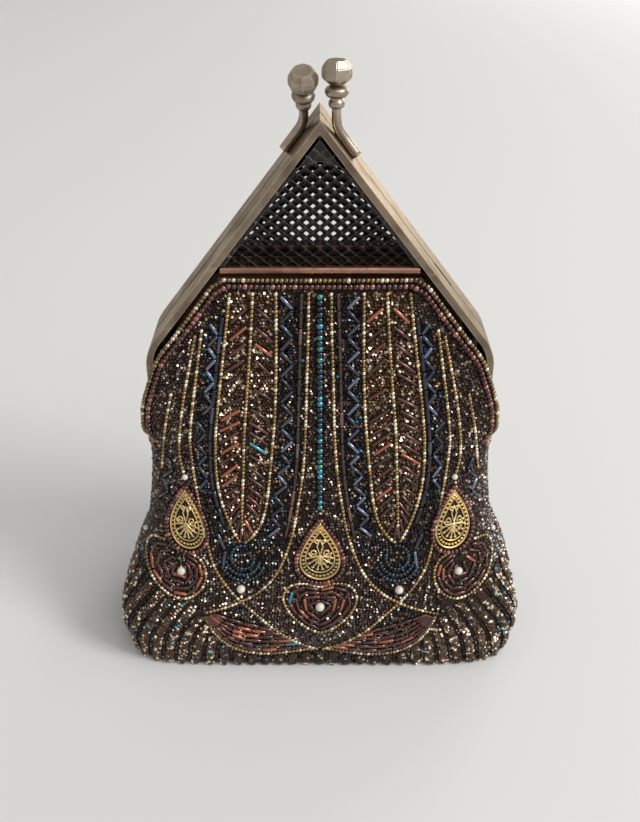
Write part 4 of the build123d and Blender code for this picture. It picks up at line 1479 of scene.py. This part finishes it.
class BAG_OT_ribs(bpy.types.Operator):
    """Cover the foot with leaning ribs of glitter beads, round both corners"""

    bl_idname = "bag.ribs"
    bl_label = "Foot ribs"

    def execute(self, context):
        rng = np.random.default_rng(SEED + 8)
        cores, spots, outs = [], [], []
        for levels, run, top in self.runs():
            z = np.linspace(CORD_FOOT, top, max(4, int(top / CORD_STEP)))
            spot, out = skin(np.interp(z, levels, run), z)
            cores.append(wire(spot + out * CORD_LIFT * MM, RIB_RADIUS * MM, sides=8))
            mark(spot, RIB_ROOM * MM)
            for aside, first in RIB_ROWS:
                z = np.arange(first, top, RIB_STEP)
                spot, out = skin(np.interp(z, levels, run), z)
                lift = RIB_RADIUS * np.sqrt(1 - (aside / RIB_HALF) ** 2) - RIB_SINK
                spots.append(spot + unit(np.cross(UP, out)) * aside * MM + out * lift * MM)
                outs.append(out)
        centre, out = np.concatenate(spots), np.concatenate(outs)
        centre = centre + rng.normal(0, RIB_STRAY * MM, centre.shape)
        centre[:, 2] = np.maximum(centre[:, 2], RIB_LOWEST * MM)
        spin = rng.normal(0, 1, centre.shape)
        radius = sizes().ground_radius * rng.normal(RIB_BEAD, RIB_BEAD_SPREAD, (len(centre), 1))
        _, beads = set_down(FINE_BEAD, centre, np.cross(out, spin), out, radius * RIB_BEAD_SHAPE)
        # painted shade: ribs near the middle take darker glass for the shade under the overhang of the pouch
        dark = np.abs(centre[:, 0]) < SHADED_FOOT * MM
        for name, chosen, finish in (("rib_beads", ~dark, "rib_glass"), ("foot_beads", dark, "foot_glass")):
            both_faces(name, [(FINE_BEAD, beads[chosen])], finish, "gold_beads", "ribs")
        both_faces("rib_cords", cores, "ground_cloth", "beaded_cloth", "ribs")
        return {"FINISHED"}

    def runs(self):
        """Levels, turns and top of each rib, which leans less near the middle and the seams."""
        levels = np.arange(0.0, RIB_HIGHEST, 1.0)
        rounds = [girth(level) for level in levels]
        _, length, across = rounds[RIB_LEVEL]
        whole = length[-1]
        count = int(whole / RIB_PITCH)
        for where in (np.arange(count) + 0.5) * whole / count:
            x = abs(float(np.interp(where, length, across)))
            seam = min(where, whole - where)
            lean = RIB_LEAN * min(1.0, (x / LEAN_ACROSS) ** 2) * min(1.0, seam / LEAN_SEAM)
            lean = lean * np.sign(where - whole / 2)
            shift = where / whole - lean * (levels - RIB_LEVEL) / whole
            run, reach = (
                np.array([np.interp(part * r[1][-1], r[1], r[k]) for part, r in zip(shift, rounds)])
                for k in (0, 2))
            over = np.nonzero(levels > np.interp(np.abs(reach), *np.array(RIB_TOP).T))[0]
            top = float(levels[over[0]]) if len(over) else RIB_SEAM_TOP
            yield levels, run, max(top, RIB_LOWEST_TOP)


# The ground in millimetres: its first row, its end under the flap's top, and the start of a row
GROUND_FOOT = 1.6
GROUND_TOP = 1.2
ROW_START = 0.4
# Step from row to row as a share of the pitch, and how far the beads stray
ROW_SHARE = 0.88
GROUND_STRAY = 0.13
# From this far under the rim upwards, beads keep this far in from the flap edge
FLAP_FROM = 0.8
EDGE_ROOM = 0.7
# Near-black beads start this far across and this far up
NIGHT_ACROSS = 57
NIGHT_FOOT = 12
# A fine bead: the room it needs and its lift as shares of its radius, its tilt, spread and its shape
GROUND_ROOM = 0.55
GROUND_LIFT = 0.55
GROUND_TILT = 0.25
GROUND_SPREAD = 0.12
GROUND_SHAPE = np.array([[1.9, 1.08, 1.08]])


def inside(polygon, places):
    """Which places lie in a polygon."""
    x, z = places[:, 0], places[:, 1]
    held = np.zeros(len(places), bool)
    for (ax, az), (bx, bz) in zip(polygon, np.roll(polygon, -1, 0)):
        cross = (az > z) != (bz > z)
        with np.errstate(divide="ignore", invalid="ignore"):
            held ^= cross & (x < (bx - ax) * (z - az) / (bz - az) + ax)
    return held


class BAG_OT_ground(bpy.types.Operator):
    """Cover the rest of the cloth with fine beads: bronze, near-black and plum"""

    bl_idname = "bag.ground"
    bl_label = "Ground beads"

    def execute(self, context):
        rng = np.random.default_rng(SEED + 9)
        small = sizes().ground_radius
        point, out = self.free_spots(*self.spots(rng), small)
        places = np.stack([np.abs(point[:, 0]), point[:, 2]], 1) / MM
        feather = inside(np.concatenate([curve(FEATHER_INNER), curve(FEATHER_OUTER)[::-1]]), places)
        lobe = inside(np.concatenate([curve(BELL), curve(LOBE)[::-1]]), places)
        lobe |= places[:, 0] > NIGHT_ACROSS
        lobe &= ~feather & (places[:, 1] > NIGHT_FOOT)
        for name, chosen, finish in (
            ("bronze_ground", feather, "bronze_glass"), ("night_ground", lobe, "night_glass"),
            ("plum_ground", ~feather & ~lobe, "plum_glass"),
        ):
            spot, up = point[chosen], out[chosen]
            radius = small * rng.normal(1.0, GROUND_SPREAD, (len(spot), 1))
            spin = rng.normal(0, 1, spot.shape)
            way = np.cross(up, spin) + up * GROUND_TILT
            beads = set_down(FINE_BEAD, spot + up * radius * GROUND_LIFT, way, up, radius * GROUND_SHAPE)
            both_faces(name, [beads], finish, "beaded_cloth")
        return {"FINISHED"}

    def spots(self, rng):
        """Points in uneven rows over the whole front, and the way out of the cloth there."""
        pitch = sizes().ground_pitch / MM
        turns, heights = [], []
        for row, z in enumerate(np.arange(GROUND_FOOT, FLAP_TOP_Z - GROUND_TOP, pitch * ROW_SHARE)):
            turn, length, across = girth(z)
            at = np.arange((row % 2) * pitch / 2 + ROW_START, length[-1], pitch)
            at = np.clip(at + rng.normal(0, GROUND_STRAY, len(at)), 0, length[-1])
            way = np.interp(at, length, turn)
            if z > RIM_Z - FLAP_FROM:
                way = way[np.abs(np.interp(at, length, across)) < float(flap_half(z)) - EDGE_ROOM]
            turns.append(way)
            heights.append(np.full(len(way), z))
        z = np.concatenate(heights)
        z = z + rng.normal(0, GROUND_STRAY, len(z))
        return skin(np.clip(np.concatenate(turns), 0.0, pi), z)

    def free_spots(self, point, out, small):
        """The points that keep clear of what was set down before."""
        held = np.concatenate([np.full(len(p), r) for p, r in taken_spots])
        taken = np.concatenate([p for p, _ in taken_spots])
        tree = KDTree(len(taken))
        for k, spot in enumerate(taken):
            tree.insert(spot, k)
        tree.balance()
        free = np.ones(len(point), bool)
        for k, spot in enumerate(point):
            _, index, gap = tree.find(spot)
            free[k] = gap > held[index] + small * GROUND_ROOM
        return point[free], out[free]


class BAG_OT_stage(bpy.types.Operator):
    """Set the pale floor, the soft lights, the world and the camera"""

    bl_idname = "bag.stage"
    bl_label = "Stage"

    def execute(self, context):
        scene = context.scene
        scene.view_settings.view_transform = "Standard"
        floor = bmesh.new()
        bmesh.ops.create_circle(floor, cap_ends=True, segments=96, radius=4.0)
        mesh = bpy.data.meshes.new("floor")
        floor.to_mesh(mesh)
        floor.free()
        place("floor", mesh, "pale_floor")
        middle = (0.0, 0.0, 0.09)
        self.lamp("key", "AREA", (1.40, -0.70, 1.25), middle, energy=21.0, size=0.60)
        self.lamp("back", "AREA", (1.35, 1.95, 0.42), middle, energy=21.0, size=1.10)
        self.lamp("even", "SUN", (0.80, -0.55, 1.10), (0.0, 0.0, 0.0), energy=1.25, angle=radians(70.0))
        self.world(scene)
        camera = bpy.data.objects.new("camera", bpy.data.cameras.new("camera"))
        scene.collection.objects.link(camera)
        camera.data.lens = 39.42
        camera.data.sensor_width = 36.0
        camera.data.clip_start = 0.01
        camera.location = (0.0, -0.2498, 0.2500)
        camera.rotation_euler = (radians(57.0), 0.0, 0.0)
        scene.camera = camera
        return {"FINISHED"}

    def lamp(self, name, kind, spot, aim, **settings):
        """A lamp at a spot that shines towards its aim."""
        light = bpy.data.lights.new(name, kind)
        for key, value in settings.items():
            setattr(light, key, value)
        thing = bpy.data.objects.new(name, light)
        bpy.context.scene.collection.objects.link(thing)
        thing.location = spot
        thing.rotation_euler = (Vector(aim) - Vector(spot)).to_track_quat("-Z", "Y").to_euler()

    def world(self, scene):
        """A white sky for light, which the camera, gloss and glass see as the floor's pale grey."""
        world = bpy.data.worlds.new("studio")
        scene.world = world
        world.use_nodes = True
        tree = world.node_tree
        sky = next(n for n in tree.nodes if n.type == "BACKGROUND")
        feed(tree, sky.inputs, {"Color": (1.0, 1.0, 1.0, 1.0), "Strength": 0.40})
        seen = add(tree, "Background", {"Color": shade("floor 0.8")})
        path = add(tree, "LightPath").outputs
        seen_by = path["Is Camera Ray"]
        for ray in ("Is Glossy Ray", "Is Transmission Ray"):
            seen_by = maths(tree, "MAXIMUM", seen_by, path[ray])
        mix = add(tree, "MixShader", {0: seen_by, 1: sky.outputs[0], 2: seen.outputs[0]})
        out = next(n for n in tree.nodes if n.type == "OUTPUT_WORLD")
        feed(tree, out.inputs, {"Surface": mix.outputs[0]})


OPERATORS = (
    BAG_OT_stage, BAG_OT_metal_frame, BAG_OT_gable_mesh, BAG_OT_clasp, BAG_OT_cloth, BAG_OT_edge_beads,
    BAG_OT_column, BAG_OT_gold_lines, BAG_OT_bugles, BAG_OT_medallions, BAG_OT_pearls, BAG_OT_flowers,
    BAG_OT_scallops, BAG_OT_ribs, BAG_OT_ground,
)


class BAG_PT_pieces(bpy.types.Panel):
    """Lists the pieces of the bag"""

    bl_idname = "BAG_PT_pieces"
    bl_label = "Beaded bag"
    bl_space_type = "VIEW_3D"
    bl_region_type = "UI"
    bl_category = "Bag"

    def draw(self, context):
        for operator in OPERATORS:
            self.layout.operator(operator.bl_idname)
        for values in (context.scene.bag_sizes, context.scene.bag_colours):
            for name in values.bl_rna.properties.keys():
                if name not in ("rna_type", "name"):
                    self.layout.prop(values, name)


CLASSES = (BagSizes, BagColours, *OPERATORS, BAG_PT_pieces)


def register():
    for made in CLASSES:
        bpy.utils.register_class(made)
    bpy.types.Scene.bag_sizes = PointerProperty(type=BagSizes)
    bpy.types.Scene.bag_colours = PointerProperty(type=BagColours)


def unregister():
    del bpy.types.Scene.bag_sizes
    del bpy.types.Scene.bag_colours
    for made in reversed(CLASSES):
        bpy.utils.unregister_class(made)


def main():
    register()
    for operator in OPERATORS:
        family, action = operator.bl_idname.split(".")
        getattr(getattr(bpy.ops, family), action)()


if __name__ == "__main__":
    main()
